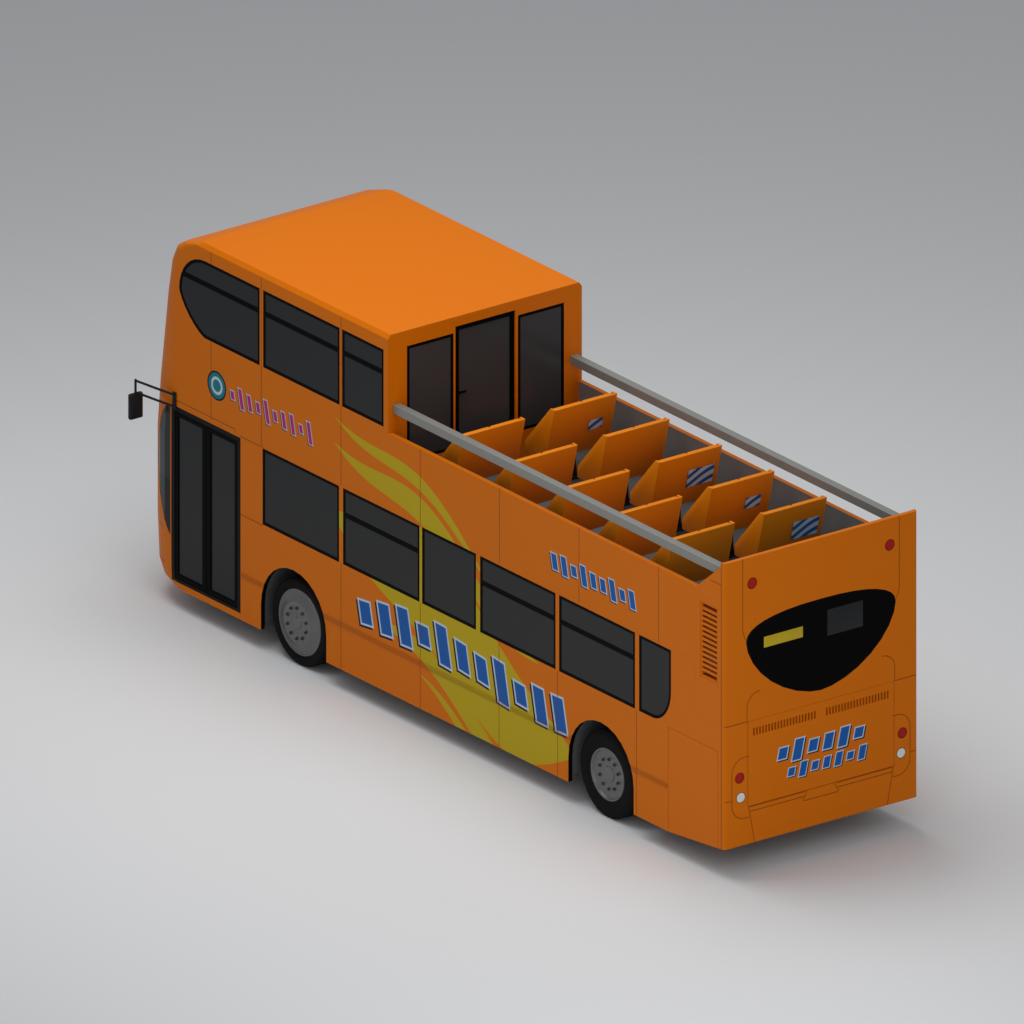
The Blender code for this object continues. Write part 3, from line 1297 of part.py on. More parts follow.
def bulkhead():
    """The wall that closes the covered part, its door and its two windows."""
    rear = at(BULKHEAD_STATION)
    front = rear + BULKHEAD_THICKNESS
    bottom = UPPER_FLOOR_HEIGHT + SEAM
    top = HEIGHT - WALL - SEAM
    door = rectangle(DECK_DOOR_RIGHT, DECK_DOOR_LEFT, DECK_DOOR_BOTTOM, DECK_DOOR_TOP)
    near = rectangle(
        BULKHEAD_WINDOW_INNER, BULKHEAD_WINDOW_OUTER, BULKHEAD_WINDOW_BOTTOM, BULKHEAD_WINDOW_TOP)
    off = rectangle(
        -BULKHEAD_OFFSIDE_OUTER, -BULKHEAD_OFFSIDE_INNER, BULKHEAD_WINDOW_BOTTOM, BULKHEAD_WINDOW_TOP)
    wall = rectangle(-INSIDE_HALF_WIDTH, INSIDE_HALF_WIDTH, bottom, top)
    panel = outline_solid("bulkhead_panel", [wall, door, near, off], "end", rear, front)
    deck_door(panel, rear, front)
    as_part(panel, "bulkhead_panel", "orange_paint")
    liner_back = front + SEAM + LINER
    low = DECK_DOOR_TOP + LINER
    high = top - LINER
    sill = BULKHEAD_WINDOW_BOTTOM + LINER
    liner = [
        (-BULKHEAD_OFFSIDE_OUTER, sill), (-BULKHEAD_OFFSIDE_INNER, sill), (-BULKHEAD_OFFSIDE_INNER, low),
        (BULKHEAD_WINDOW_INNER, low), (BULKHEAD_WINDOW_INNER, sill), (BULKHEAD_WINDOW_OUTER, sill),
        (BULKHEAD_WINDOW_OUTER, high), (-BULKHEAD_OFFSIDE_OUTER, high),
    ]
    glass = outline_solid("bulkhead_liner", [liner], "end", front + SEAM, liner_back)
    pane_face = rear + GLAZING_SINK + PANE_RECESS
    pockets = []
    for outline in (near, off):
        shape = inset_outline(outline, SEAM)
        pane = outline_solid("bulkhead_pane", [shape], "end", rear + GLAZING_SINK, front + SEAM + LINER / 2)
        join(glass, pane)
        clear = inset_outline(outline, WINDOW_FRAME)
        pockets.append(outline_solid("pane_out", [clear], "end", rear - OVERRUN, pane_face))
        pockets.append(outline_solid("pane_in", [clear], "end", pane_face + PANE_THICKNESS, front + OVERRUN))
    cut(glass, *pockets)
    as_part(glass, "bulkhead_windows", "dark_glass")


def deck_door(panel, rear, front):
    """The glazed door to the open deck, hung on its offside edge and opening forward."""
    right = DECK_DOOR_RIGHT + LID_GAP
    left = DECK_DOOR_LEFT - LID_GAP
    bottom = DECK_DOOR_BOTTOM + LID_GAP
    top = DECK_DOOR_TOP - LID_GAP
    back_face = front - DECK_DOOR_THICKNESS
    leaf = outline_solid(
        "deck_leaf", [rectangle(right, left, bottom, top)], "end", back_face, front)
    clear = rectangle(
        right + DECK_DOOR_FRAME, left - DECK_DOOR_FRAME, bottom + DECK_DOOR_FRAME, top - DECK_DOOR_FRAME)
    middle = (back_face + front) / 2
    half_pane = PANE_THICKNESS / 2
    cut(leaf,
        outline_solid("deck_out", [clear], "end", back_face - OVERRUN, middle - half_pane),
        outline_solid("deck_in", [clear], "end", middle + half_pane, front + OVERRUN))
    handle = box(
        "deck_handle",
        (back_face - DECK_HANDLE_PROUD, DECK_HANDLE_OUTER - DECK_HANDLE_LENGTH, DECK_HANDLE_HEIGHT),
        (middle, DECK_HANDLE_OUTER, DECK_HANDLE_HEIGHT + DECK_HANDLE_BAR))
    plate = box(
        "handle_plate",
        (back_face - DECK_HANDLE_PROUD / 2, DECK_HANDLE_OUTER, DECK_HANDLE_HEIGHT - DECK_HANDLE_BAR),
        (middle, left - LID_GAP, DECK_HANDLE_HEIGHT + 2 * DECK_HANDLE_BAR))
    join(handle, plate)
    join(leaf, handle)
    hinge = right - LID_GAP / 2
    hinge_line(
        panel, leaf, (front, hinge, bottom), (front, hinge, top),
        (0.0, -LID_GAP / 2, 0.0), (0.0, LID_GAP / 2, 0.0))
    as_part(leaf, "bulkhead_door", "dark_glass", (front, hinge, bottom))


def guard_rails():
    """The square rails above the open deck's walls, from the bulkhead to the rear panel."""
    rail = box(
        "rail", (at(WALL) + SEAM, RAIL_INNER, RAIL_BOTTOM), (at(BULKHEAD_STATION) - SEAM, RAIL_OUTER, RAIL_TOP))
    bevelled(rail, RAIL_BEVEL)
    as_part(rail, "guard_rail_left", "rail_grey")
    as_part(mirrored(rail, "rail_off"), "guard_rail_right", "rail_grey")


def floors():
    """The lower floor with its rear step and wheel housings, and the upper floor."""
    thickness = LOWER_FLOOR_THICKNESS
    panel_back = at(WALL) + SEAM
    wall_top = UPPER_FLOOR_UNDERSIDE - SEAM
    bay_wall = at(BAY_WALL_STATION)
    profile = [
        (at(LENGTH), LOWER_FLOOR_HEIGHT), (at(REAR_STEP_STATION), LOWER_FLOOR_HEIGHT),
        (at(REAR_STEP_STATION), REAR_FLOOR_HEIGHT), (at(ENGINE_WALL_STATION), REAR_FLOOR_HEIGHT),
        (at(ENGINE_WALL_STATION), ENGINE_SHELF_HEIGHT), (bay_wall, ENGINE_SHELF_HEIGHT),
        (bay_wall, wall_top), (bay_wall - thickness, wall_top),
        (bay_wall - thickness, ENGINE_SHELF_HEIGHT - thickness),
        (at(ENGINE_WALL_STATION) - thickness, ENGINE_SHELF_HEIGHT - thickness),
        (at(ENGINE_WALL_STATION) - thickness, REAR_FLOOR_UNDERSIDE),
        (at(REAR_STEP_STATION) - thickness, REAR_FLOOR_UNDERSIDE),
        (at(REAR_STEP_STATION) - thickness, LOWER_FLOOR_UNDERSIDE), (at(LENGTH), LOWER_FLOOR_UNDERSIDE),
    ]
    floor = outline_solid("floor", [profile], "side", -HALF_WIDTH, HALF_WIDTH)
    keep_in(floor, envelope(WALL + SEAM))
    housings = (
        (FRONT_AXLE_STATION, FRONT_HOUSING_RADIUS, FRONT_HOUSING_DEPTH),
        (REAR_AXLE_STATION, REAR_HOUSING_RADIUS, REAR_HOUSING_DEPTH),
    )
    for station, radius, depth in housings:
        inner = INSIDE_HALF_WIDTH - depth
        foot = LOWER_FLOOR_UNDERSIDE
        for side in (1, -1):
            low, high = sorted((side * (inner - HOUSING_WALL), side * INSIDE_HALF_WIDTH))
            shell = arch("housing", station, radius + HOUSING_WALL, low, high)
            below = box(
                "below_floor", (at(station) - 2 * radius, low - OVERRUN, -2 * OVERRUN),
                (at(station) + 2 * radius, high + OVERRUN, foot))
            cut(shell, below)
            join(floor, shell)
    for station, radius, depth in housings:
        inner = INSIDE_HALF_WIDTH - depth
        for side in (1, -1):
            low, high = sorted((side * inner, side * (HALF_WIDTH + OVERRUN)))
            cut(floor, arch("housing_hollow", station, radius, low, high))
    slot = AXLE_TUBE_RADIUS + AXLE_SLOT_CLEARANCE
    cut(floor, box(
        "axle_slot", (at(REAR_AXLE_STATION) - slot, -HALF_WIDTH, -OVERRUN),
        (at(REAR_AXLE_STATION) + slot, HALF_WIDTH, TYRE_RADIUS + slot)))
    cut(floor, box(
        "service_clearance", (bay_wall - thickness - OVERRUN, INSIDE_HALF_WIDTH - LID_GAP, -OVERRUN),
        (at(SERVICE_FRONT_STATION) + LID_GAP, HALF_WIDTH, SERVICE_TOP + LID_GAP)))
    as_part(floor, "lower_floor", "floor_grey")
    deck = box(
        "deck", (panel_back, -HALF_WIDTH, UPPER_FLOOR_UNDERSIDE), (at(LENGTH), HALF_WIDTH, UPPER_FLOOR_HEIGHT))
    keep_in(deck, envelope(WALL + SEAM))
    head = at(STAIR_FOOT_STATION - STAIR_TREADS * STAIR_GOING)
    cut(deck, box(
        "stairwell",
        (head, -INSIDE_HALF_WIDTH + STAIRWELL_CLEARANCE, UPPER_FLOOR_UNDERSIDE - OVERRUN),
        (at(STAIR_FOOT_STATION) + STAIRWELL_CLEARANCE,
         -INSIDE_HALF_WIDTH + STAIR_WIDTH + 2 * STAIRWELL_CLEARANCE, UPPER_FLOOR_HEIGHT + OVERRUN)))
    as_part(deck, "upper_floor", "floor_grey")


def staircase():
    """A straight flight from the lower floor to the edge of the stairwell."""
    rise = (UPPER_FLOOR_HEIGHT - LOWER_FLOOR_HEIGHT) / STAIR_TREADS
    foot = at(STAIR_FOOT_STATION)
    base = LOWER_FLOOR_HEIGHT + SEAM
    points = [(foot, base)]
    for index in range(STAIR_TREADS):
        height = LOWER_FLOOR_HEIGHT + rise * (index + 1)
        if index == STAIR_TREADS - 1:
            break
        points.append((foot - STAIR_GOING * index, height))
        points.append((foot - STAIR_GOING * (index + 1), height))
    head = foot - STAIR_GOING * STAIR_TREADS + SEAM
    last = points[-1][1]
    points[-1] = (head + STAIR_HEAD_THICKNESS, last)
    points.append((head + STAIR_HEAD_THICKNESS, UPPER_FLOOR_HEIGHT))
    points.append((head, UPPER_FLOOR_HEIGHT))
    points.append((head, last - STAIR_WAIST))
    slope = rise / STAIR_GOING
    run = (last - STAIR_WAIST - base) / slope
    points.append((head + run, base))
    low = -INSIDE_HALF_WIDTH + STAIRWELL_CLEARANCE + LINER
    flight = outline_solid("flight", [points], "side", low, low + STAIR_WIDTH)
    over_wheel = FRONT_HOUSING_RADIUS + HOUSING_WALL + SEAM
    cut(flight, arch("over_wheel", FRONT_AXLE_STATION, over_wheel, low - OVERRUN, low + STAIR_WIDTH + OVERRUN))
    as_part(flight, "staircase", "floor_grey")


def seat_row(name, station, base, inner, outer):
    """One pair of seats: raked back, cushion, two side wings and a leg, standing on a floor."""
    back_top = base + SEAT_BACK_HEIGHT
    cushion_top = base + SEAT_CUSHION_HEIGHT
    cushion_bottom = cushion_top - SEAT_CUSHION_THICKNESS
    rear = at(station)
    foot_rear = rear + SEAT_RAKE
    front = rear + SEAT_LENGTH
    profile = [
        (rear, back_top), (foot_rear, cushion_bottom), (front, cushion_bottom), (front, cushion_top),
        (foot_rear + SEAT_BACK_THICKNESS, cushion_top), (rear + SEAT_BACK_THICKNESS, back_top),
    ]
    row = outline_solid(name, [profile], "side", inner + SEAM, outer - SEAM)
    wing = [
        (rear, back_top), (foot_rear, cushion_bottom), (front, cushion_bottom),
        (front, cushion_top), (front - SEAT_WING_SETBACK, back_top - SEAT_WING_DROP),
        (rear + SEAT_BACK_THICKNESS, back_top),
    ]
    for low in (inner, outer - SEAT_WING_THICKNESS):
        join(row, outline_solid("wing", [wing], "side", low, low + SEAT_WING_THICKNESS))
    middle = (inner + outer) / 2
    start = rear + SEAT_LEG_START
    leg = box(
        "leg", (start, middle - SEAT_LEG_WIDTH / 2, base + SEAM),
        (start + SEAT_LEG_LENGTH, middle + SEAT_LEG_WIDTH / 2, cushion_bottom + SEAT_CUSHION_THICKNESS / 2))
    return join(row, leg)


def seat_column(name, station, count, pitch, base, side, inner=SEAT_INNER, outer=SEAT_OUTER):
    """A column of seat pairs, carried by one floor track."""
    row = seat_row(f"{name}_row", station, base, inner, outer)
    rows = copied(row, name)
    for index in range(1, count):
        merged(rows, copied(row, "next_row", (index * pitch, 0.0, 0.0)))
    if count > 1:
        middle = (inner + outer) / 2
        start = at(station) + SEAT_LEG_START + SEAT_LEG_LENGTH / 2
        track = box(
            "track", (start, middle - SEAT_TRACK_WIDTH / 2, base + SEAM),
            (start + (count - 1) * pitch, middle + SEAT_TRACK_WIDTH / 2, base + SEAT_TRACK_HEIGHT))
        join(rows, track)
    if side < 0:
        rows = mirrored(rows, name)
    return rows


def seats():
    """All the passenger seats."""
    deck = UPPER_FLOOR_HEIGHT
    saloon = LOWER_FLOOR_HEIGHT
    for side, word in ((1, "left"), (-1, "right")):
        open_deck = seat_column("open", OPEN_ROW_STATION, OPEN_ROWS, SEAT_PITCH, deck, side)
        as_part(open_deck, f"open_deck_seats_{word}", "seat_orange")
        lower = seat_column("saloon", SALOON_ROW_STATION, SALOON_ROWS, SALOON_PITCH, saloon, side)
        as_part(lower, f"lower_seats_{word}", "seat_orange")
    near = seat_column("covered", COVERED_ROW_STATION, COVERED_ROWS, COVERED_PITCH, deck, 1)
    as_part(near, "covered_seats_left", "seat_orange")
    off = seat_column("covered_off", OFFSIDE_FRONT_ROW_STATION, 1, COVERED_PITCH, deck, -1)
    as_part(off, "covered_seats_right", "seat_orange")
    bench = seat_row("bench", BENCH_STATION, REAR_FLOOR_HEIGHT, -REAR_HOUSING_SPAN, REAR_HOUSING_SPAN)
    as_part(bench, "rear_bench", "seat_orange")


REAR_HOUSING_SPAN = INSIDE_HALF_WIDTH - REAR_HOUSING_DEPTH - 2 * HOUSING_WALL


def driver_place():
    """The driver's platform with the dash, the steering wheel and the seat on it."""
    off = -INSIDE_HALF_WIDTH + LINER * 2
    near = off + CAB_WIDTH
    base = LOWER_FLOOR_HEIGHT + SEAM
    top = LOWER_FLOOR_HEIGHT + CAB_PLATFORM
    rear = at(CAB_REAR_STATION)
    tip = at(LENGTH)
    cab = box("cab", (rear, off, base), (tip, near, top))
    dash_rear = tip - DASH_DEPTH - WALL * 2
    dash_top = top + DASH_HEIGHT
    dash = box("dash", (dash_rear, off, base), (tip, near, dash_top))
    join(cab, dash)
    keep_in(cab, envelope(WALL + SEAM + 2 * LINER))
    middle = (off + near) / 2
    seat_rear = rear + CAB_SEAT_SETBACK
    cushion_top = top + CAB_SEAT_HEIGHT
    cushion = box(
        "cab_cushion", (seat_rear, middle - CAB_SEAT_WIDTH / 2, cushion_top - CAB_SEAT_THICKNESS),
        (seat_rear + CAB_SEAT_LENGTH, middle + CAB_SEAT_WIDTH / 2, cushion_top))
    back = box(
        "cab_back", (seat_rear, middle - CAB_SEAT_WIDTH / 2, cushion_top - CAB_SEAT_THICKNESS / 2),
        (seat_rear + CAB_SEAT_THICKNESS, middle + CAB_SEAT_WIDTH / 2, cushion_top + CAB_SEAT_BACK))
    leg_middle = seat_rear + CAB_SEAT_LENGTH / 2
    leg = box(
        "cab_leg", (leg_middle - CAB_LEG, middle - CAB_LEG, top - SEAM),
        (leg_middle + CAB_LEG, middle + CAB_LEG, cushion_top - CAB_SEAT_THICKNESS / 2))
    column_end = Vector((dash_rear + CAB_SEAT_SETBACK, middle, dash_top - CAB_SEAT_SETBACK))
    lean = Vector((-math.sin(STEERING_TILT), 0.0, math.cos(STEERING_TILT)))
    hub = column_end + lean * STEERING_COLUMN_LENGTH
    column = rod("column", STEERING_COLUMN_RADIUS, column_end, hub, AXLE_SEGMENTS // 2)
    join(cab, cushion, back, leg, column, steering_wheel(hub))
    as_part(cab, "driver_place", "cab_black")


def steering_wheel(hub):
    """The wheel's rim with two crossing spokes."""
    curve = bpy.data.curves.new("steering_rim", 'CURVE')
    curve.dimensions = '3D'
    curve.bevel_depth = STEERING_WHEEL_RIM
    curve.bevel_resolution = 1
    spline = curve.splines.new('POLY')
    spline.points.add(AXLE_SEGMENTS - 1)
    spline.use_cyclic_u = True
    for index, point in enumerate(spline.points):
        turn = 2 * math.pi * index / AXLE_SEGMENTS
        point.co = (
            STEERING_WHEEL_RADIUS * math.cos(turn), STEERING_WHEEL_RADIUS * math.sin(turn), 0.0, 1.0)
    drawing = bpy.data.objects.new("steering_rim", curve)
    bpy.context.scene.collection.objects.link(drawing)
    mesh = evaluated(drawing)
    bpy.data.objects.remove(drawing, do_unlink=True)
    rim = as_cutter("steering_rim", mesh)
    reach = STEERING_WHEEL_RADIUS
    spoke = STEERING_WHEEL_RIM / 2
    for low, high in (((-reach, -spoke, -spoke), (reach, spoke, spoke)),
                      ((-spoke, -reach, -spoke), (spoke, reach, spoke))):
        join(rim, box("spoke", low, high))
    rim.data.transform(Matrix.Translation(hub) @ Matrix.Rotation(-STEERING_TILT, 4, 'Y'))
    return rim


def frame():
    """The ladder frame: low rails ahead of the rear step, raised rails behind it."""
    top = LOWER_FLOOR_UNDERSIDE - SEAM
    bottom = top - FRAME_RAIL_DEPTH
    rear_top = REAR_FLOOR_UNDERSIDE - SEAM
    riser_front = at(REAR_STEP_STATION) - LOWER_FLOOR_THICKNESS - SEAM
    riser_rear = riser_front - FRAME_RISER
    half = FRAME_RAIL_WIDTH / 2
    ladder = None
    profile = [
        (riser_rear, bottom), (at(FRAME_FRONT_STATION), bottom), (at(FRAME_FRONT_STATION), top),
        (riser_front, top), (riser_front, rear_top), (at(FRAME_REAR_STATION), rear_top),
        (at(FRAME_REAR_STATION), rear_top - REAR_RAIL_DEPTH), (riser_rear, rear_top - REAR_RAIL_DEPTH),
    ]
    for side in (1, -1):
        middle = side * FRAME_RAIL_OFFSET
        ladder = merged(ladder, outline_solid("rail", [profile], "side", middle - half, middle + half))
    run = at(FRAME_FRONT_STATION) - riser_front
    for share in CROSS_MEMBER_SHARES:
        start = riser_front + share * run - CROSS_MEMBER / 2
        reach = OUTRIGGER_REACH
        join(ladder, box("cross", (start, -reach, bottom + SEAM), (start + CROSS_MEMBER, reach, top - SEAM)))
    for start in (at(FRAME_REAR_STATION) + SEAM, riser_rear + SEAM):
        join(ladder, box(
            "rear_cross", (start, -FRAME_RAIL_OFFSET, rear_top - REAR_RAIL_DEPTH + SEAM),
            (start + CROSS_MEMBER, FRAME_RAIL_OFFSET, rear_top - SEAM)))
    as_part(ladder, "chassis_frame", "frame_steel")
    return bottom, rear_top - REAR_RAIL_DEPTH


def front_axle(rail_bottom):
    """The dropped beam with its posts and the lugs that hold the knuckles."""
    middle = at(FRONT_AXLE_STATION)
    half = BEAM_WIDTH / 2
    top = rail_bottom - SEAM
    low = TYRE_RADIUS - KNUCKLE_HEIGHT / 2 - RUNNING_GAP
    high = TYRE_RADIUS + KNUCKLE_HEIGHT / 2 + RUNNING_GAP
    tip = KINGPIN_OFFSET + LUG_REACH
    bottom = top - BEAM_DEPTH
    outline = [
        (-BEAM_POST_OUTER, bottom), (BEAM_POST_OUTER, bottom), (BEAM_POST_OUTER, low - LUG_THICKNESS),
        (tip, low - LUG_THICKNESS), (tip, low), (BEAM_POST_OUTER, low), (BEAM_POST_OUTER, high),
        (tip, high), (tip, high + LUG_THICKNESS), (BEAM_POST_INNER, high + LUG_THICKNESS),
        (BEAM_POST_INNER, top),
    ]
    outline += [
        (-BEAM_POST_INNER, top), (-BEAM_POST_INNER, high + LUG_THICKNESS), (-tip, high + LUG_THICKNESS),
        (-tip, high), (-BEAM_POST_OUTER, high), (-BEAM_POST_OUTER, low), (-tip, low),
        (-tip, low - LUG_THICKNESS), (-BEAM_POST_OUTER, low - LUG_THICKNESS),
    ]
    beam = outline_solid("beam", [outline], "end", middle - half, middle + half)
    as_part(beam, "front_axle", "frame_steel")


def knuckles():
    """The steered knuckles: kingpin barrel, stub axle and brake disc, with their origins on the pin."""
    for side, word in ((1, "left"), (-1, "right")):
        middle = at(FRONT_AXLE_STATION)
        offset = side * KINGPIN_OFFSET
        low = TYRE_RADIUS - KNUCKLE_HEIGHT / 2
        barrel = rod("barrel", KINGPIN_RADIUS, (middle, offset, low), (middle, offset, low + KNUCKLE_HEIGHT))
        stub_end = side * (KINGPIN_OFFSET + STUB_LENGTH)
        stub = rod("stub", STUB_RADIUS, (middle, offset, TYRE_RADIUS), (middle, stub_end, TYRE_RADIUS))
        disc_start = side * (KINGPIN_OFFSET + STUB_LENGTH - BRAKE_THICKNESS)
        disc_end = side * (KINGPIN_OFFSET + STUB_LENGTH - SEAM)
        disc = rod(
            "brake", BRAKE_RADIUS, (middle, disc_start, TYRE_RADIUS), (middle, disc_end, TYRE_RADIUS), WHEEL_SEGMENTS)
        join(barrel, stub, disc)
        as_part(barrel, f"steering_knuckle_{word}", "cast_iron", (middle, offset, TYRE_RADIUS))


def rear_axle(rail_bottom):
    """The driven axle: tube, differential and the air springs that carry the frame."""
    middle = at(REAR_AXLE_STATION)
    reach = REAR_HUB_INNER - RUNNING_GAP
    tube = rod(
        "tube", AXLE_TUBE_RADIUS, (middle, -reach, TYRE_RADIUS), (middle, reach, TYRE_RADIUS))
    graph = bmesh.new()
    bmesh.ops.create_uvsphere(
        graph, u_segments=AXLE_SEGMENTS, v_segments=AXLE_SEGMENTS // 2, radius=DIFFERENTIAL_RADIUS)
    bmesh.ops.translate(graph, vec=(middle, 0.0, TYRE_RADIUS), verts=graph.verts)
    casing = as_cutter("casing", mesh_from("casing", graph))
    join(tube, casing)
    for side in (1, -1):
        offset = side * FRAME_RAIL_OFFSET
        join(tube, rod(
            "spring", SPRING_RADIUS, (middle, offset, TYRE_RADIUS), (middle, offset, rail_bottom - SEAM)))
    as_part(tube, "rear_axle", "frame_steel")


TWIN_SPAN = 2 * TYRE_WIDTH + TWIN_TYRE_GAP
REAR_HUB_INNER = WHEEL_FACE - TWIN_SPAN + RIM_WALL
# A tyre's section from the bead over the tread: (share of the width in from the face, share of the
# sidewall's height above the bead).
TYRE_SECTION_SHARES = (
    (0.075, 0.0), (0.0, 0.45), (0.03, 0.86), (0.12, 1.0), (0.88, 1.0), (0.97, 0.86), (1.0, 0.45), (0.925, 0.0),
)


def tyre_section(bead_radius, start):
    """Points of one tyre's section, from its outer bead to its inner bead."""
    height = TYRE_RADIUS - bead_radius
    return [(bead_radius + up * height, start - across * TYRE_WIDTH) for across, up in TYRE_SECTION_SHARES]


def wheels():
    """Front tyres and wheels, and the twin rear tyres on their wheels."""
    for side, word in ((1, "left"), (-1, "right")):
        axle = Vector((at(FRONT_AXLE_STATION), 0.0, TYRE_RADIUS))
        tyre = turned("tyre", tyre_section(FRONT_BEAD_RADIUS, WHEEL_FACE), axle, side)
        as_part(tyre, f"front_tyre_{word}", "tyre", axle + Vector((0.0, side * WHEEL_FACE, 0.0)))
        rim = turned("rim", front_wheel_section(), axle, side)
        as_part(rim, f"front_wheel_{word}", "silver_paint", axle + Vector((0.0, side * WHEEL_FACE, 0.0)))
        axle = Vector((at(REAR_AXLE_STATION), 0.0, TYRE_RADIUS))
        outer = tyre_section(REAR_BEAD_RADIUS, WHEEL_FACE)
        inner = tyre_section(REAR_BEAD_RADIUS, WHEEL_FACE - TYRE_WIDTH - TWIN_TYRE_GAP)
        spacer = REAR_BEAD_RADIUS + RIM_WALL
        bridge = [
            (spacer, WHEEL_FACE - TYRE_WIDTH * TYRE_SECTION_SHARES[-1][0]),
            (spacer, inner[0][1]),
        ]
        twin = turned("twin", outer[:-1] + bridge + inner[1:], axle, side)
        as_part(twin, f"rear_tyres_{word}", "tyre", axle + Vector((0.0, side * WHEEL_FACE, 0.0)))
        rim = turned("rear_rim", rear_wheel_section(), axle, side)
        as_part(rim, f"rear_wheel_{word}", "silver_paint", axle + Vector((0.0, side * WHEEL_FACE, 0.0)))


def front_wheel_section():
    """The front wheel: a barrel behind a disc whose trim stands out as a blunt cone."""
    radius = FRONT_BEAD_RADIUS - SEAM
    bead = TYRE_WIDTH * TYRE_SECTION_SHARES[0][0]
    face = WHEEL_FACE - bead
    disc_back = KINGPIN_OFFSET + STUB_LENGTH + RUNNING_GAP
    return [
        (0.0, face + FRONT_TRIM_PROUD), (FRONT_TRIM_FACE_RADIUS, face + FRONT_TRIM_PROUD),
        (radius - RIM_WALL, face), (radius, face), (radius, WHEEL_FACE - TYRE_WIDTH + bead),
        (radius - RIM_WALL, WHEEL_FACE - TYRE_WIDTH + bead), (radius - RIM_WALL, face - 2 * RIM_WALL),
        (FRONT_TRIM_FACE_RADIUS, face - RIM_WALL), (HUB_RADIUS, face - RIM_WALL),
        (HUB_RADIUS, disc_back), (0.0, disc_back),
    ]


def rear_wheel_section():
    """The rear wheel: one barrel under both tyres, its disc set back from the outer face."""
    radius = REAR_BEAD_RADIUS - SEAM
    bead = TYRE_WIDTH * TYRE_SECTION_SHARES[0][0]
    face = WHEEL_FACE - bead
    inner_face = WHEEL_FACE - TWIN_SPAN + bead
    disc = face - REAR_DISC_RECESS
    return [
        (0.0, disc), (radius - RIM_WALL, disc), (radius - RIM_WALL, face), (radius, face),
        (radius, inner_face), (radius - RIM_WALL, inner_face), (radius - RIM_WALL, disc - DISC_THICKNESS),
        (HUB_RADIUS, disc - DISC_THICKNESS), (HUB_RADIUS, REAR_HUB_INNER), (0.0, REAR_HUB_INNER),
    ]


def engine():
    """The engine and gearbox, one plain block between the raised rails."""
    half = FRAME_RAIL_OFFSET - FRAME_RAIL_WIDTH / 2 - SEAM
    start = at(FRAME_REAR_STATION) + CROSS_MEMBER + ENGINE_REAR_STATION / 4
    block = box("engine", (start, -half, ENGINE_BOTTOM), (start + ENGINE_LENGTH, half, ENGINE_TOP))
    as_part(block, "engine_block", "cast_iron")


def tube(name, points, radius):
    """A round bar along a line of points, as a closed mesh."""
    curve = bpy.data.curves.new(name, 'CURVE')
    curve.dimensions = '3D'
    curve.bevel_depth = radius
    curve.bevel_resolution = 1
    curve.use_fill_caps = True
    spline = curve.splines.new('POLY')
    spline.points.add(len(points) - 1)
    for point, place in zip(spline.points, points):
        point.co = (*place, 1.0)
    drawing = bpy.data.objects.new(name, curve)
    bpy.context.scene.collection.objects.link(drawing)
    mesh = evaluated(drawing)
    bpy.data.objects.remove(drawing, do_unlink=True)
    graph = bmesh.new()
    graph.from_mesh(mesh)
    bmesh.ops.remove_doubles(graph, verts=graph.verts, dist=SEAM / 30)
    bmesh.ops.recalc_face_normals(graph, faces=graph.faces)
    graph.to_mesh(mesh)
    graph.free()
    return as_cutter(name, mesh)


def mirrors():
    """The mirrors: a bracket on the corner, two arms forward and a hanging head."""
    start = at(MIRROR_BRACKET_STATION)
    face = HALF_WIDTH + SEAM
    plate_end = face + MIRROR_BRACKET_THICKNESS
    bracket = box(
        "bracket", (start - MIRROR_BRACKET_LENGTH / 2, face, MIRROR_BRACKET_BOTTOM),
        (start + MIRROR_BRACKET_LENGTH / 2, plate_end, MIRROR_BRACKET_TOP))
    end = (start + MIRROR_REACH, plate_end + MIRROR_SPREAD)
    drop = MIRROR_ARM_RADIUS * 2
    for height in (MIRROR_BRACKET_TOP - drop, MIRROR_BRACKET_BOTTOM + drop):
        join(bracket, tube(
            "arm", [(start, plate_end, height), (end[0], end[1], height + MIRROR_END_RISE)],
            MIRROR_ARM_RADIUS))
    post = tube(
        "post", [(end[0], end[1], MIRROR_BRACKET_TOP), (end[0], end[1], MIRROR_HEAD_TOP - MIRROR_HEAD_HEIGHT / 2)],
        MIRROR_ARM_RADIUS)
    head = box(
        "head", (end[0] - MIRROR_HEAD_DEPTH / 2, end[1] - MIRROR_HEAD_WIDTH / 2, MIRROR_HEAD_TOP - MIRROR_HEAD_HEIGHT),
        (end[0] + MIRROR_HEAD_DEPTH / 2, end[1] + MIRROR_HEAD_WIDTH / 2, MIRROR_HEAD_TOP))
    bevelled(head, MIRROR_HEAD_BEVEL)
    join(bracket, post, head)
    as_part(bracket, "mirror_left", "cab_black")
    as_part(mirrored(bracket, "mirror_off"), "mirror_right", "cab_black")


def shade_round_parts():
    """Smooth the round faces and keep the crisp edges."""
    for part in bpy.data.collections[PARTS].objects:
        part.data.shade_smooth()
        part.data.set_sharp_from_angle(angle=math.radians(30))


def build():
    """Build the whole bus."""
    start_scene()
    undercut = side_panels()
    front_panels()
    rear_panels(undercut)
    front_glazing()
    side_glazing()
    rear_glazing()
    headlamps()
    rear_lamps()
    air_grille()
    engine_lid()
    service_panel(undercut)
    entrance()
    bulkhead()
    guard_rails()
    floors()
    staircase()
    seats()
    driver_place()
    rail_bottom, rear_rail_bottom = frame()
    front_axle(rail_bottom)
    knuckles()
    rear_axle(rear_rail_bottom)
    wheels()
    engine()
    mirrors()
    shade_round_parts()


build()
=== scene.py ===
"""Looks of an open top double decker bus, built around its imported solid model.

The solid model's shells, glazing, doors and frame are shown as they are and get their finishes here.
Tyres, wheels and seats are replaced by finer visual pieces, and trim is added beside them. Every
finish is procedural and follows object coordinates, so it moves with the piece that wears it.
"""

import logging
import math
from dataclasses import dataclass
from enum import Enum
from typing import Callable, Sequence

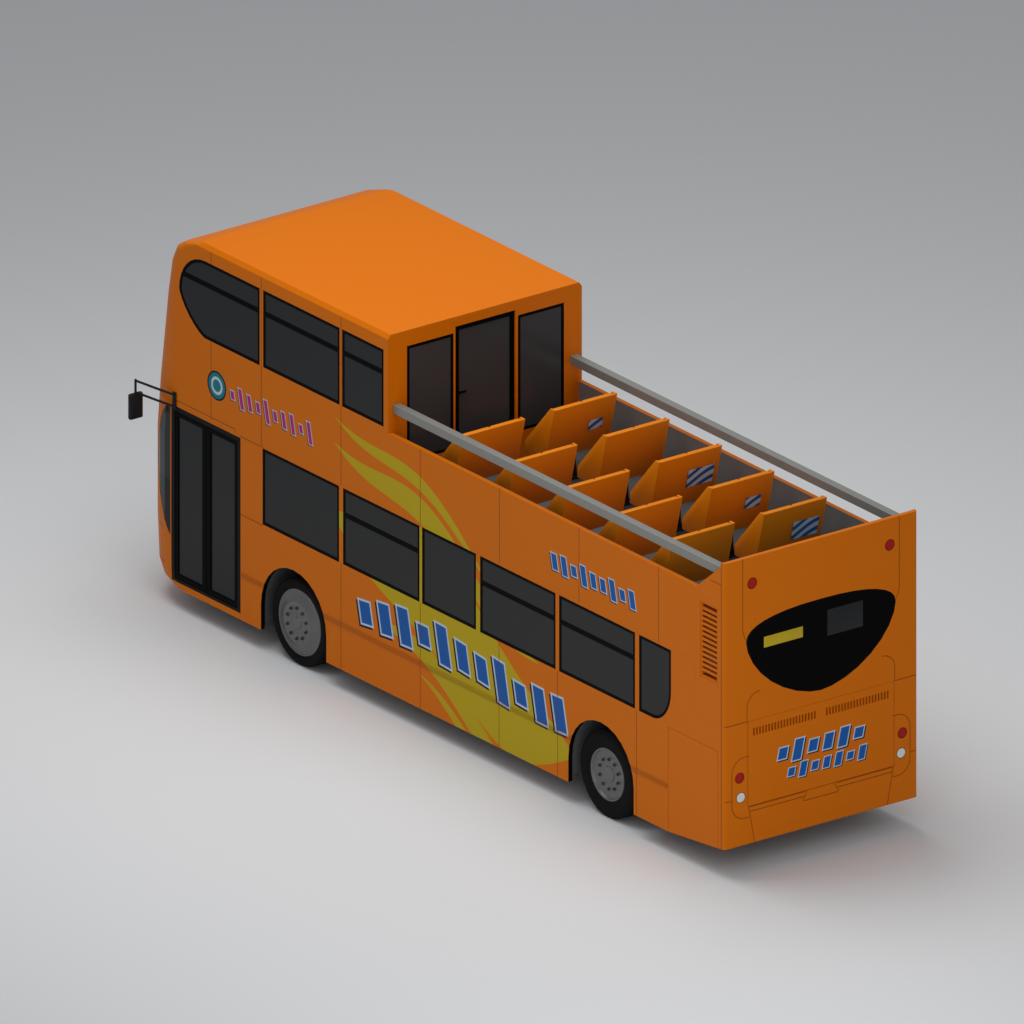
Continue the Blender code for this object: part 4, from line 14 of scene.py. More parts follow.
import bmesh
import bpy
from mathutils import Matrix, Vector

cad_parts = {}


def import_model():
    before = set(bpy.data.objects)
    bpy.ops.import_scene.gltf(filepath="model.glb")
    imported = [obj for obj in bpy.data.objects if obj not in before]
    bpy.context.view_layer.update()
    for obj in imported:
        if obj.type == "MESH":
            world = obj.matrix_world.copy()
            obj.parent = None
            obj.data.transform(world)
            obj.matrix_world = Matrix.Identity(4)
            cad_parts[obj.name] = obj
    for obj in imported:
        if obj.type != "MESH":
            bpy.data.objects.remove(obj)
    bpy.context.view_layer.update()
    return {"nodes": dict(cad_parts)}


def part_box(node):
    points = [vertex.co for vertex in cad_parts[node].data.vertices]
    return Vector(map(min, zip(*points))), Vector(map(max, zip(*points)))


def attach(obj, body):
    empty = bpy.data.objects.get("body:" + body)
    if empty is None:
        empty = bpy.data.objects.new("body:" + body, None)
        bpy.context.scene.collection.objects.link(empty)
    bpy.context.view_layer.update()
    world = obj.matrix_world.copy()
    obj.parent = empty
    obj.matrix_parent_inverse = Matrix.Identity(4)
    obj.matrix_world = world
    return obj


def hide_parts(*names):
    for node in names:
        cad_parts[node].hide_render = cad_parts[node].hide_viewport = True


LOG = logging.getLogger("bus")

Point = tuple[float, float]
Place = tuple[float, float, float]
Colour = tuple[float, float, float]


def linear(red: int, green: int, blue: int) -> Colour:
    """Turn a display colour into the linear one that shaders use.

    Args:
        red: Red from 0 to 255.
        green: Green from 0 to 255.
        blue: Blue from 0 to 255.

    Returns:
        The linear colour.
    """
    parts = []
    for value in (red, green, blue):
        share = value / 255
        parts.append(share / 12.92 if share <= 0.04045 else ((share + 0.055) / 1.055) ** 2.4)
    return tuple(parts)


class Hue(Enum):
    """Named colours of the bus."""

    ORANGE = linear(214, 111, 2)
    SHADED = linear(150, 68, 8)
    SEAT = linear(224, 128, 14)
    # SEAM darkens the joint lines, and more faintly paints the shade band along the rub strip.
    SEAM = linear(104, 46, 6)
    YELLOW = linear(190, 164, 22)
    BLUE = linear(30, 92, 170)
    NAVY = linear(10, 16, 40)
    PALE = linear(190, 206, 220)
    MAGENTA = linear(176, 44, 120)
    TEAL = linear(24, 122, 134)
    PANE = linear(38, 39, 40)
    SHELTERED = linear(60, 61, 62)
    BLACK = linear(7, 7, 8)
    TYRE = linear(19, 19, 20)
    SILVER = linear(112, 112, 112)
    RAIL = linear(140, 140, 135)
    LINING = linear(120, 122, 122)
    FLOOR = linear(92, 95, 98)
    STEEL = linear(42, 43, 45)
    CAB = linear(34, 34, 36)
    RED = linear(170, 10, 10)
    CLEAR = linear(225, 225, 220)
    CASTING = linear(70, 70, 70)
    PLATE = linear(206, 186, 60)
    STUDIO = linear(232, 233, 234)


@dataclass(frozen=True)
class Finish:
    """A surface finish.

    Args:
        name: Name of the material.
        hue: Base colour.
        roughness: Mean roughness.
        slot: Material slot of the record that it belongs to. Not used.
        metallic: Metallic share.
        coat: Weight of the clear coat.
        grain: Size of the surface grain in metres, zero for none.
        relief: Strength of the grain's bump.
        specular: Level of the plain reflection.
    """

    name: str
    hue: Hue
    roughness: float
    slot: str = ""
    metallic: float = 0.0
    coat: float = 0.0
    grain: float = 0.0
    relief: float = 0.0
    specular: float = 0.13


class Look:
    """All the finishes, by use."""

    PAINT = Finish("body_paint", Hue.ORANGE, 0.45, "orange_paint", coat=0.03, specular=0.08)
    SCREEN = Finish("screen_glass", Hue.PANE, 0.16, "dark_glass")
    PANE = Finish("tinted_pane", Hue.PANE, 0.16, "dark_glass")
    SHELTERED = Finish("sheltered_pane", Hue.SHELTERED, 0.2, "dark_glass")
    FRAME = Finish("window_frame", Hue.BLACK, 0.5, "dark_glass", specular=0.03)
    PRIVACY = Finish("privacy_pane", Hue.BLACK, 0.14, "dark_glass", specular=0.05)
    LOUVRE = Finish("louvre_paint", Hue.ORANGE, 0.5, "black_trim")
    # The grille's set-back faces wear a darker orange: painted shade between the slats.
    RECESS_SHADE = Finish("louvre_painted_shade", Hue.SHADED, 0.7, "black_trim")
    TRIM = Finish("black_trim", Hue.BLACK, 0.55, "black_trim", grain=0.004, relief=0.05)
    TYRE = Finish("tyre_rubber", Hue.TYRE, 0.86, "tyre", grain=0.006, relief=0.12)
    SILVER = Finish("wheel_silver", Hue.SILVER, 0.38, "silver_paint", 0.35, 0.1, 0.02, 0.02)
    NUT = Finish("wheel_nut", Hue.SILVER, 0.28, "silver_paint", 0.9)
    RAIL = Finish("rail_paint", Hue.RAIL, 0.36, "rail_grey", 0.25, 0.15, 0.02, 0.01)
    STEEL = Finish("chassis_paint", Hue.STEEL, 0.6, "frame_steel", 0.2, 0.0, 0.01, 0.08)
    FLOOR = Finish("floor_covering", Hue.FLOOR, 0.8, "floor_grey", grain=0.003, relief=0.15)
    SEAT = Finish("seat_shell", Hue.SEAT, 0.45, "seat_orange", 0.0, 0.1, 0.003, 0.06)
    CUSHION = Finish("seat_cushion", Hue.SEAT, 0.7, "seat_orange", grain=0.002, relief=0.2)
    POSTER = Finish("poster", Hue.PALE, 0.5, "seat_orange", coat=0.1)
    CAB = Finish("cab_plastic", Hue.CAB, 0.6, "cab_black", grain=0.002, relief=0.12)
    RED = Finish("red_lens", Hue.RED, 0.12, "lamp_red", coat=0.15)
    CLEAR = Finish("clear_lens", Hue.CLEAR, 0.12, "lamp_clear", coat=0.8)
    CASTING = Finish("bare_casting", Hue.CASTING, 0.65, "cast_iron", 0.6, 0.0, 0.008, 0.15)
    PLATE = Finish("blank_plate", Hue.PLATE, 0.4, "lamp_clear", coat=0.2)
    YELLOW = Finish("sign_yellow", Hue.YELLOW, 0.35, "lamp_clear", coat=0.2)
    GREY = Finish("sign_grey", Hue.PANE, 0.5, "black_trim")
    GROUND = Finish("studio_floor", Hue.STUDIO, 0.85)


class Shade:
    """A shader value that sums can be written with.

    Args:
        tree: Node tree of the material.
        source: An output socket or a plain number.
    """

    def __init__(self, tree: bpy.types.NodeTree, source):
        self.tree = tree
        self.source = source

    @classmethod
    def axes(cls, tree: bpy.types.NodeTree) -> list["Shade"]:
        """The three object coordinates."""
        split = tree.nodes.new("ShaderNodeSeparateXYZ")
        tree.links.new(tree.nodes.new("ShaderNodeTexCoord").outputs["Object"], split.inputs[0])
        return [cls(tree, output) for output in split.outputs]

    def node(self, operation: str, *others, clamp: bool = False) -> "Shade":
        """Add a maths node of this value and some others."""
        made = self.tree.nodes.new("ShaderNodeMath")
        made.operation = operation
        made.use_clamp = clamp
        for socket, value in zip(made.inputs, (self, *others)):
            value = value.source if isinstance(value, Shade) else value
            if isinstance(value, bpy.types.NodeSocket):
                self.tree.links.new(value, socket)
            else:
                socket.default_value = value
        return Shade(self.tree, made.outputs[0])

    def __add__(self, other) -> "Shade":
        return self.node("ADD", other)

    __radd__ = __add__

    def __sub__(self, other) -> "Shade":
        return self.node("SUBTRACT", other)

    def __rsub__(self, other) -> "Shade":
        return (self * -1.0) + other

    def __mul__(self, other) -> "Shade":
        return self.node("MULTIPLY", other)

    __rmul__ = __mul__

    def __truediv__(self, other) -> "Shade":
        return self.node("DIVIDE", other)

    def __abs__(self) -> "Shade":
        return self.node("ABSOLUTE")

    def least(self, other) -> "Shade":
        """The smaller of two values."""
        return self.node("MINIMUM", other)

    def most(self, other) -> "Shade":
        """The larger of two values."""
        return self.node("MAXIMUM", other)

    @staticmethod
    def any(first: "Shade", *others: "Shade") -> "Shade":
        """The largest of several values."""
        for other in others:
            first = first.most(other)
        return first

    def sine(self) -> "Shade":
        """The sine of the value."""
        return self.node("SINE")

    def floor(self) -> "Shade":
        """The whole part of the value."""
        return self.node("FLOOR")

    def far(self, other) -> "Shade":
        """Distance from the origin of a point with this and another value as its coordinates."""
        return (self * self + other * other).node("SQRT")

    def repeat(self, pitch: float) -> "Shade":
        """Distance from the middle of the cell that the value lies in."""
        return self.node("FLOORED_MODULO", pitch) - pitch / 2

    def below(self, limit: float, soft: float = 0.0015) -> "Shade":
        """One where the value is under a limit, with a soft edge."""
        return ((limit - self) / (2 * soft) + 0.5).node("MULTIPLY", 1.0, clamp=True)

    def above(self, limit: float, soft: float = 0.0015) -> "Shade":
        """One where the value is over a limit, with a soft edge."""
        return ((self - limit) / (2 * soft) + 0.5).node("MULTIPLY", 1.0, clamp=True)

    def within(self, low: float, high: float) -> "Shade":
        """One between two limits."""
        return self.above(low) * self.below(high)

    def nearest(self, places: Sequence[float]) -> "Shade":
        """Distance from the nearest of some places."""
        found = abs(self - places[0])
        for place in places[1:]:
            found = found.least(abs(self - place))
        return found


@dataclass(frozen=True)
class Body:
    """Places on the body that trim and livery line up with, in metres.

    Args:
        rear: X of the rear face.
        length: Length of the body.
        half_width: Half of its width.
        wall: Thickness of its walls.
        deck: Height of the upper floor.
        front_axle: Station of the front axle, forward of the rear face.
        rear_axle: Station of the rear axle.
        hub_height: Height of the axles.
        arch: Radius of the wheel arches.
        arch_centre: Height of their centres.
    """

    rear: float = -5.15
    length: float = 10.30
    half_width: float = 1.275
    wall: float = 0.055
    deck: float = 2.45
    front_axle: float = 7.554
    rear_axle: float = 2.161
    hub_height: float = 0.487
    arch: float = 0.575
    arch_centre: float = 0.525

    def at(self, station: float) -> float:
        """X of a station measured forward from the rear face."""
        return self.rear + station


BODY = Body()


class Paintbox:
    """Makes and keeps the materials."""

    COAT_ROUGHNESS = 0.08
    GRAIN_DETAIL = 3.0
    GRAIN_SPREAD = 0.16
    SCREEN_FOOT = 1.43

    def __init__(self):
        self.made: dict[str, bpy.types.Material] = {}

    def start(self, finish: Finish):
        """A fresh Principled material, its tree and its shader."""
        material = bpy.data.materials.new(finish.name)
        material.use_nodes = True
        tree = material.node_tree
        shader = tree.nodes["Principled BSDF"]
        colour = (*finish.hue.value, 1.0)
        for name, value in (
                ("Base Color", colour), ("Roughness", finish.roughness),
                ("Metallic", finish.metallic), ("Coat Weight", finish.coat),
                ("Coat Roughness", self.COAT_ROUGHNESS), ("Specular IOR Level", finish.specular)):
            shader.inputs[name].default_value = value
        material.diffuse_color = colour
        self.made[finish.name] = material
        return material, tree, shader

    def plain(self, finish: Finish) -> bpy.types.Material:
        """The material of a finish, made once."""
        if finish.name not in self.made:
            tree, shader = self.start(finish)[1:]
            if finish.grain > 0:
                self.grain(tree, shader, finish)
        return self.made[finish.name]

    def screen_glass(self):
        """Make the front screens' glass, with a black foot on the corner windows."""
        tree, shader = self.start(Look.SCREEN)[1:]
        across, z = Shade.axes(tree)[1:]
        foot = abs(across).above(1.0) * z.below(self.SCREEN_FOOT)
        colour = Livery.layers(tree, Hue.PANE, [(foot, Hue.BLACK)])
        tree.links.new(colour, shader.inputs["Base Color"])

    @classmethod
    def grain(cls, tree: bpy.types.NodeTree, shader: bpy.types.Node, finish: Finish):
        """Vary a finish's roughness and relief by a noise in object coordinates."""
        noise = tree.nodes.new("ShaderNodeTexNoise")
        noise.inputs["Scale"].default_value = 1.0 / finish.grain
        noise.inputs["Detail"].default_value = cls.GRAIN_DETAIL
        place = tree.nodes.new("ShaderNodeTexCoord").outputs["Object"]
        tree.links.new(place, noise.inputs["Vector"])
        low = finish.roughness - cls.GRAIN_SPREAD / 2
        spread = Shade(tree, noise.outputs["Fac"]) * cls.GRAIN_SPREAD + low
        tree.links.new(spread.source, shader.inputs["Roughness"])
        if finish.relief > 0:
            bump = tree.nodes.new("ShaderNodeBump")
            bump.inputs["Strength"].default_value = finish.relief
            bump.inputs["Distance"].default_value = finish.grain
            tree.links.new(noise.outputs["Fac"], bump.inputs["Height"])
            tree.links.new(bump.outputs["Normal"], shader.inputs["Normal"])

    def dress(self, obj: bpy.types.Object, finish: Finish, body: str, *replaced: str):
        """Give a piece its finish and body, and say which solids it stands for.

        Args:
            obj: The visual piece.
            finish: Its finish.
            body: Body that it rides on.
            replaced: Solid nodes that it replaces.
        """
        obj.data.materials.clear()
        obj.data.materials.append(self.plain(finish))
        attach(obj, body)
        if replaced:
            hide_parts(*replaced)


@dataclass(frozen=True)
class Bars:
    """A row of slanted bars.

    Args:
        pitch: Distance between bars.
        half: Half of a bar's width.
        tall: Mean half height.
        swing: How far the half height changes along the row.
        edge: Width of the outline and offset of the shadow.
        first: Number of the first pitch that holds a bar.
        last: Number of the pitch after the last bar.
    """

    pitch: float
    half: float
    tall: float
    swing: float
    edge: float
    first: int
    last: int


class Livery:
    """The body paint, with its seams, a painted shade band along the rub strip and a made-up livery, as
    one shader in object coordinates.
    """

    UPPER_SEAMS = (9.0, 8.12, 6.72, 5.33, 3.94, 2.546, 1.15)
    LOWER_SEAMS = (6.72, 5.33, 3.95, 2.92, 1.537)
    SEAM_HALF = 0.005
    NOSE = 9.72
    STRIP = 0.752
    STRIP_ENDS = (0.99, 8.47)
    OPEN_END = 5.88
    SILL = 0.24
    WAIST = 1.436
    DECK_SEAM = 2.335
    EAVES = 4.235
    BUMPER = (0.70, 0.752)
    POST = 0.945
    BLUE = (Hue.BLUE, Hue.PALE, Hue.NAVY)
    MAGENTA = (Hue.MAGENTA, Hue.PALE, Hue.NAVY)

    def __init__(self, box: Paintbox):
        self.box = box

    def build(self):
        """Make the paint that every painted body panel wears."""
        tree, shader = self.box.start(Look.PAINT)[1:]
        x, y, z = Shade.axes(tree)
        station = x - BODY.rear
        across = abs(y)
        on_side = across.above(BODY.half_width - 0.02) * station.above(0.035)
        on_tail = station.below(0.012)
        on_nose = station.above(self.NOSE) * (1.0 - on_side)
        # A soft darker band along the rub strip: painted shade of the moulding.
        band = abs(z - self.STRIP).below(0.030, 0.02) * on_side * station.within(*self.STRIP_ENDS)
        seams = (self.side_seams(station, z) * on_side).most(self.tail_seams(across, z) * on_tail)
        seams = seams.most(self.nose_seams(across, z) * on_nose)
        inside = across.below(BODY.half_width - BODY.wall + 0.002, 0.0002) * station.within(
            BODY.wall - 0.002, self.OPEN_END) * z.above(BODY.deck)
        colour = self.layers(tree, Hue.ORANGE, [
            (self.ribbons(station, z) * on_side, Hue.YELLOW),
            *((shade * on_side, hue) for shade, hue in self.bars(station, z)),
            *((shade * on_tail, hue) for shade, hue in self.tail_bars(y, z)),
            (band * 0.35, Hue.SEAM), (seams * 0.75, Hue.SEAM), (inside, Hue.LINING),
            (self.arch_linings(station, across, z), Hue.BLACK),
        ])
        tree.links.new(colour, shader.inputs["Base Color"])
        bump = tree.nodes.new("ShaderNodeBump")
        bump.inputs["Strength"].default_value = 0.5
        bump.inputs["Distance"].default_value = 0.004
        bump.invert = True
        tree.links.new(seams.source, bump.inputs["Height"])
        edge = tree.nodes.new("ShaderNodeBevel")
        edge.inputs["Radius"].default_value = 0.006
        edge.samples = 4
        tree.links.new(edge.outputs["Normal"], bump.inputs["Normal"])
        tree.links.new(bump.outputs["Normal"], shader.inputs["Normal"])

    @staticmethod
    def arch_linings(station: Shade, across: Shade, z: Shade) -> Shade:
        """The black lining on the cut edges of the wheel arches."""
        up = (z - BODY.arch_centre).most(0.0)
        rear, front = (
            (station - axle).far(up).below(BODY.arch + 0.004)
            for axle in (BODY.rear_axle, BODY.front_axle))
        return front.most(rear) * across.below(BODY.half_width - 0.004)

    @staticmethod
    def layers(tree: bpy.types.NodeTree, ground: Hue, masks) -> bpy.types.NodeSocket:
        """Lay colours over a ground, each where its mask says so."""
        plain = tree.nodes.new("ShaderNodeRGB")
        under = plain.outputs[0]
        under.default_value = (*ground.value, 1.0)
        for mask, hue in masks:
            mix = tree.nodes.new("ShaderNodeMix")
            mix.data_type = "RGBA"
            tree.links.new(mask.source, mix.inputs["Factor"])
            tree.links.new(under, mix.inputs["A"])
            mix.inputs["B"].default_value = (*hue.value, 1.0)
            under = mix.outputs["Result"]
        return under

    @staticmethod
    def ribbons(station: Shade, z: Shade) -> Shade:
        """Yellow ribbons that sweep up and forward, broad in the middle and pointed at the ends."""
        along = station - 4.75
        wave = along * 0.40 + (along * 2.1 + 0.6).sine() * 0.16 + 1.30
        found = None
        for offset, half, reach, shift in (
                (0.0, 0.66, 2.15, 0.0), (0.80, 0.15, 1.80, 0.30), (1.10, 0.08, 1.40, 0.70),
                (-0.78, 0.14, 1.60, -0.25), (-1.06, 0.08, 1.20, -0.60)):
            taper = (1.0 - ((along - shift) * (along - shift)) / (reach * reach)).most(0.0)
            gap = abs(z - (wave + offset)) - taper * half
            band = gap.below(0.0) * taper.above(0.01, 0.005)
            found = band if found is None else found.most(band)
        return found

    @staticmethod
    def row(along: Shade, up: Shade, bars: Bars) -> Shade:
        """Signed distance from a row of slanted bars of changing height."""
        slanted = along - up * 0.22
        number = (slanted / bars.pitch).floor()
        height = (number * 2.4).sine() * bars.swing + bars.tall
        sideways = abs(slanted.repeat(bars.pitch)) - bars.half
        outside = 1.0 - slanted.within(bars.first * bars.pitch, bars.last * bars.pitch)
        return sideways.most(abs(up) - height) + outside

    def outlined(self, along: Shade, up: Shade, bars: Bars, hues: Sequence[Hue]) -> list:
        """A row of bars with a pale outline and a dark shadow, from the bottom layer up."""
        body, outline, shadow = hues
        plain = self.row(along, up, bars)
        moved = self.row(along - bars.edge, up + bars.edge, bars)
        return [
            (moved.below(bars.edge), shadow), (plain.below(bars.edge), outline), (plain.below(0.0), body)]

    def bars(self, station: Shade, z: Shade) -> list:
        """The side's rows of bars, a large one low down and two small ones above, and its badge."""
        wave = (station * 1.5).sine() * 0.07
        disc = (station - 8.90).far(z - 2.76)
        return [
            *self.outlined(
                station, z - 1.02 - wave, Bars(0.34, 0.092, 0.165, 0.06, 0.024, 8, 19), self.BLUE),
            *self.outlined(
                station, z - 2.66, Bars(0.17, 0.045, 0.085, 0.03, 0.013, 9, 18), self.BLUE),
            *self.outlined(
                station, z - 2.74, Bars(0.15, 0.030, 0.085, 0.04, 0.010, 48, 58), self.MAGENTA),
            (disc.below(0.165), Hue.NAVY), (disc.below(0.145), Hue.TEAL),
            (abs(disc - 0.085).below(0.016), Hue.PALE),
        ]

    def tail_bars(self, y: Shade, z: Shade) -> list:
        """The rear's two rows of bars."""
        along = 0.0 - y
        upper = self.outlined(along, z - 1.255, Bars(0.20, 0.056, 0.085, 0.03, 0.014, -3, 3), self.BLUE)
        lower = self.outlined(along, z - 1.02, Bars(0.155, 0.042, 0.06, 0.02, 0.011, -3, 4), self.BLUE)
        return upper + lower

    def line(self, value: Shade, *places: float) -> Shade:
        """A seam's width round each of some places."""
        return value.nearest(places).below(self.SEAM_HALF)

    def side_seams(self, station: Shade, z: Shade) -> Shade:
        """Lines where the side's skins and access flaps meet."""
        cover = self.line(z, 2.37) * station.within(8.58, 9.62)
        return Shade.any(
            self.line(station, *self.UPPER_SEAMS) * z.within(self.DECK_SEAM, self.EAVES),
            self.line(station, *self.LOWER_SEAMS) * z.within(self.SILL, self.WAIST),
            self.line(z, 2.318, self.WAIST) * station.within(8.09, 8.49),
            cover.most(self.line(station, 8.58) * z.within(self.DECK_SEAM, 2.37)),
            self.line(station, 0.05),
            self.line(z, 3.33) * station.within(0.05, 0.25))

    def nose_seams(self, across: Shade, z: Shade) -> Shade:
        """Lines of the front: the bumper's top, the flap under the screen and the deck seam."""
        return self.line(z, 0.46, 0.86, 2.33).most(self.line(across, 0.56) * z.within(0.46, 0.86))

    def tail_seams(self, across: Shade, z: Shade) -> Shade:
        """Lines of the rear face: corner posts, lid mouldings, bumper, handle and lamp surrounds."""
        low, high = self.BUMPER
        drop = (2.80 - z).most(0.0)
        corner = abs(across - (0.972 - 0.16))
        curve = corner.far((z - 1.88).most(0.0)) - 0.16
        east = (across - (1.172 - 0.17)).most(0.0)
        north = (abs(z - 0.986) - (0.346 - 0.17)).most(0.0)
        slope = across + (z - low) * 0.6
        return Shade.any(
            self.line(across - 1.03 + drop * drop * 2.0, 0.0) * z.above(2.62),
            self.line(z, 1.726) * across.above(0.965),
            self.line(curve, 0.0) * across.above(0.80) * z.within(1.726, 2.045),
            self.line(across - 0.949 + (high - z) * 0.185, 0.0) * z.below(high),
            self.line(z, low, high) * across.within(0.21, self.POST),
            self.line(z, 0.872) * across.above(1.175),
            self.line(east.far(north) - 0.17, 0.0) * across.above(self.POST),
            self.line(slope, 0.21) * z.within(0.65, high),
            self.line(z, 0.65) * across.below(0.225))


class Shaper:
    """Makes plain mesh pieces in the row frame."""

    @staticmethod
    def piece(name: str, graph: bmesh.types.BMesh, smooth: float = 35.0) -> bpy.types.Object:
        """Turn a bmesh into an object of the scene and free it."""
        mesh = bpy.data.meshes.new(name)
        bmesh.ops.recalc_face_normals(graph, faces=graph.faces)
        graph.to_mesh(mesh)
        graph.free()
        made = bpy.data.objects.new(name, mesh)
        bpy.context.scene.collection.objects.link(made)
        mesh.shade_smooth()
        mesh.set_sharp_from_angle(angle=math.radians(smooth))
        return made

    @staticmethod
    def add_slab(graph, low: Place, high: Place, bevel: float = 0.0, segments: int = 2,
                 turn: Matrix | None = None):
        """Add a box with rounded edges to a bmesh."""
        made = bmesh.ops.create_cube(graph, size=1.0)["verts"]
        size = Vector(high) - Vector(low)
        bmesh.ops.scale(graph, vec=size, verts=made)
        if bevel > 0:
            edges = list({edge for vertex in made for edge in vertex.link_edges})
            done = bmesh.ops.bevel(
                graph, geom=edges, offset=bevel, segments=segments, profile=0.5, affect="EDGES")
            made = list({vertex for face in done["faces"] for vertex in face.verts}
                        | {vertex for vertex in made if vertex.is_valid})
        middle = Matrix.Translation((Vector(low) + Vector(high)) / 2)
        bmesh.ops.transform(graph, matrix=middle if turn is None else middle @ turn, verts=made)
        return made

    @staticmethod
    def join(graph, rings):
        """Join closed rings of vertices in turn. A ring of one vertex is a tip."""
        for first, second in rings:
            count = max(len(first), len(second))
            for step in range(count if count > 1 else 0):
                after = (step + 1) % count
                if len(first) == 1:
                    graph.faces.new((first[0], second[after], second[step]))
                elif len(second) == 1:
                    graph.faces.new((first[step], first[after], second[0]))
                else:
                    graph.faces.new((first[step], first[after], second[after], second[step]))

    @classmethod
    def add_lathe(cls, graph, profile: Sequence[Point], centre: Place, side: float, segments: int,
                  closed: bool = True):
        """Add a solid turned about the Y axis from points of (radius, Y outward)."""
        rings = []
        for radius, out in profile:
            turns = [2 * math.pi * step / segments for step in range(segments if radius > 0 else 1)]
            rings.append([
                graph.verts.new((
                    centre[0] + radius * math.cos(turn), side * out,
                    centre[2] + radius * math.sin(turn)))
                for turn in turns
            ])
        cls.join(graph, zip(rings, rings[1:] + (rings[:1] if closed else [])))

    @staticmethod
    def add_rod(graph, start: Place, end: Place, radius: float, segments: int):
        """Add a closed cylinder between two points."""
        run = Vector(end) - Vector(start)
        place = Matrix.Translation((Vector(start) + Vector(end)) / 2)
        place = place @ run.to_track_quat("Z", "Y").to_matrix().to_4x4()
        bmesh.ops.create_cone(
            graph, cap_ends=True, segments=segments, radius1=radius, radius2=radius,
            depth=run.length, matrix=place)

    @classmethod
    def slab(cls, name: str, low: Place, high: Place, bevel: float) -> bpy.types.Object:
        """A box with rounded edges."""
        graph = bmesh.new()
        cls.add_slab(graph, low, high, bevel)
        return cls.piece(name, graph)

    @classmethod
    def mirrored(cls, source: bpy.types.Object, name: str) -> bpy.types.Object:
        """The same piece on the other side of the bus."""
        mesh = source.data.copy()
        mesh.transform(Matrix.Scale(-1.0, 4, (0.0, 1.0, 0.0)))
        mesh.flip_normals()
        made = bpy.data.objects.new(name, mesh)
        bpy.context.scene.collection.objects.link(made)
        return made


class Repeater:
    """Repeats a unit mesh by Geometry Nodes and keeps the result as a plain mesh."""

    @staticmethod
    def apply(unit: bpy.types.Object, name: str, count: int, place: Place, turned: bool):
        """Repeat a unit and put a plain piece in its place.

        Args:
            unit: Object whose mesh is repeated. It is removed.
            name: Name of the result.
            count: How many times it is there.
            place: Step of a line, or centre of a ring.
            turned: Whether the units stand in a ring about the Y axis.

        Returns:
            The repeated piece.
        """
        tree = bpy.data.node_groups.new(f"{name}_tree", "GeometryNodeTree")
        sockets = [
            tree.interface.new_socket(label, in_out="INPUT", socket_type=f"NodeSocket{kind}")
            for label, kind in (("Geometry", "Geometry"), ("Count", "Int"), ("Place", "Vector"))
        ]
        tree.interface.new_socket("Geometry", in_out="OUTPUT", socket_type="NodeSocketGeometry")
        entry, leave, line, spread, real = (
            tree.nodes.new(kind) for kind in (
                "NodeGroupInput", "NodeGroupOutput", "GeometryNodeMeshLine",
                "GeometryNodeInstanceOnPoints", "GeometryNodeRealizeInstances"))
        line.mode = "OFFSET"
        tree.links.new(entry.outputs["Count"], line.inputs["Count"])
        tree.links.new(line.outputs[0], spread.inputs["Points"])
        tree.links.new(entry.outputs["Geometry"], spread.inputs["Instance"])
        if turned:
            line.inputs["Offset"].default_value = (0.0, 0.0, 0.0)
            tree.links.new(entry.outputs["Place"], line.inputs["Start Location"])
            index = Shade(tree, tree.nodes.new("GeometryNodeInputIndex").outputs[0])
            turn = tree.nodes.new("ShaderNodeCombineXYZ")
            tree.links.new((index * (2 * math.pi / count)).source, turn.inputs["Y"])
            tree.links.new(turn.outputs[0], spread.inputs["Rotation"])
        else:
            tree.links.new(entry.outputs["Place"], line.inputs["Offset"])
        tree.links.new(spread.outputs[0], real.inputs[0])
        tree.links.new(real.outputs[0], leave.inputs[0])
        modifier = unit.modifiers.new(name, "NODES")
        modifier.node_group = tree
        modifier[sockets[1].identifier] = count
        modifier[sockets[2].identifier] = place
        bpy.context.view_layer.update()
        view = bpy.context.evaluated_depsgraph_get()
        made = bpy.data.objects.new(name, bpy.data.meshes.new_from_object(unit.evaluated_get(view)))
        bpy.context.scene.collection.objects.link(made)
        bpy.data.objects.remove(unit, do_unlink=True)
        return made

    @classmethod
    def row(cls, unit, name: str, count: int, step: Place) -> bpy.types.Object:
        """Repeat along a line."""
        return cls.apply(unit, name, count, step, False)

    @classmethod
    def ring(cls, unit, name: str, count: int, centre: Place) -> bpy.types.Object:
        """Repeat about the Y axis through a centre. The unit is drawn about the origin."""
        return cls.apply(unit, name, count, centre, True)


@dataclass(frozen=True)
class Tyre:
    """A tyre's section.

    Args:
        bead: Radius of the bead.
        radius: Outer radius.
        width: Width of one tyre.
        face: Y of the outer face.
    """

    bead: float
    radius: float = 0.487
    width: float = 0.275
    face: float = 1.208
    groove: float = 0.008

    def section(self) -> list[Point]:
        """Points of the section from the outer bead over the tread to the inner bead."""
        tall = self.radius - self.bead
        base = self.radius - self.groove
        outer = [
            (self.bead, 0.021), (self.bead + 0.10 * tall, 0.012), (self.bead + 0.22 * tall, 0.010),
            (self.bead + 0.24 * tall, 0.006), (self.bead + 0.50 * tall, 0.0),
            (self.bead + 0.72 * tall, 0.004), (self.bead + 0.74 * tall, 0.007),
            (self.bead + 0.88 * tall, 0.014), (base, 0.026),
        ]
        points = [(radius, self.face - inset) for radius, inset in outer]
        ribs = ((0.064, 0.096), (0.106, 0.134), (0.141, 0.169), (0.179, 0.211))
        for start, end in ribs:
            points += [
                (base, self.face - start), (self.radius, self.face - start - 0.001),
                (self.radius, self.face - end + 0.001), (base, self.face - end),
            ]
        points += [(radius, self.face - self.width + inset) for radius, inset in reversed(outer)]
        return points


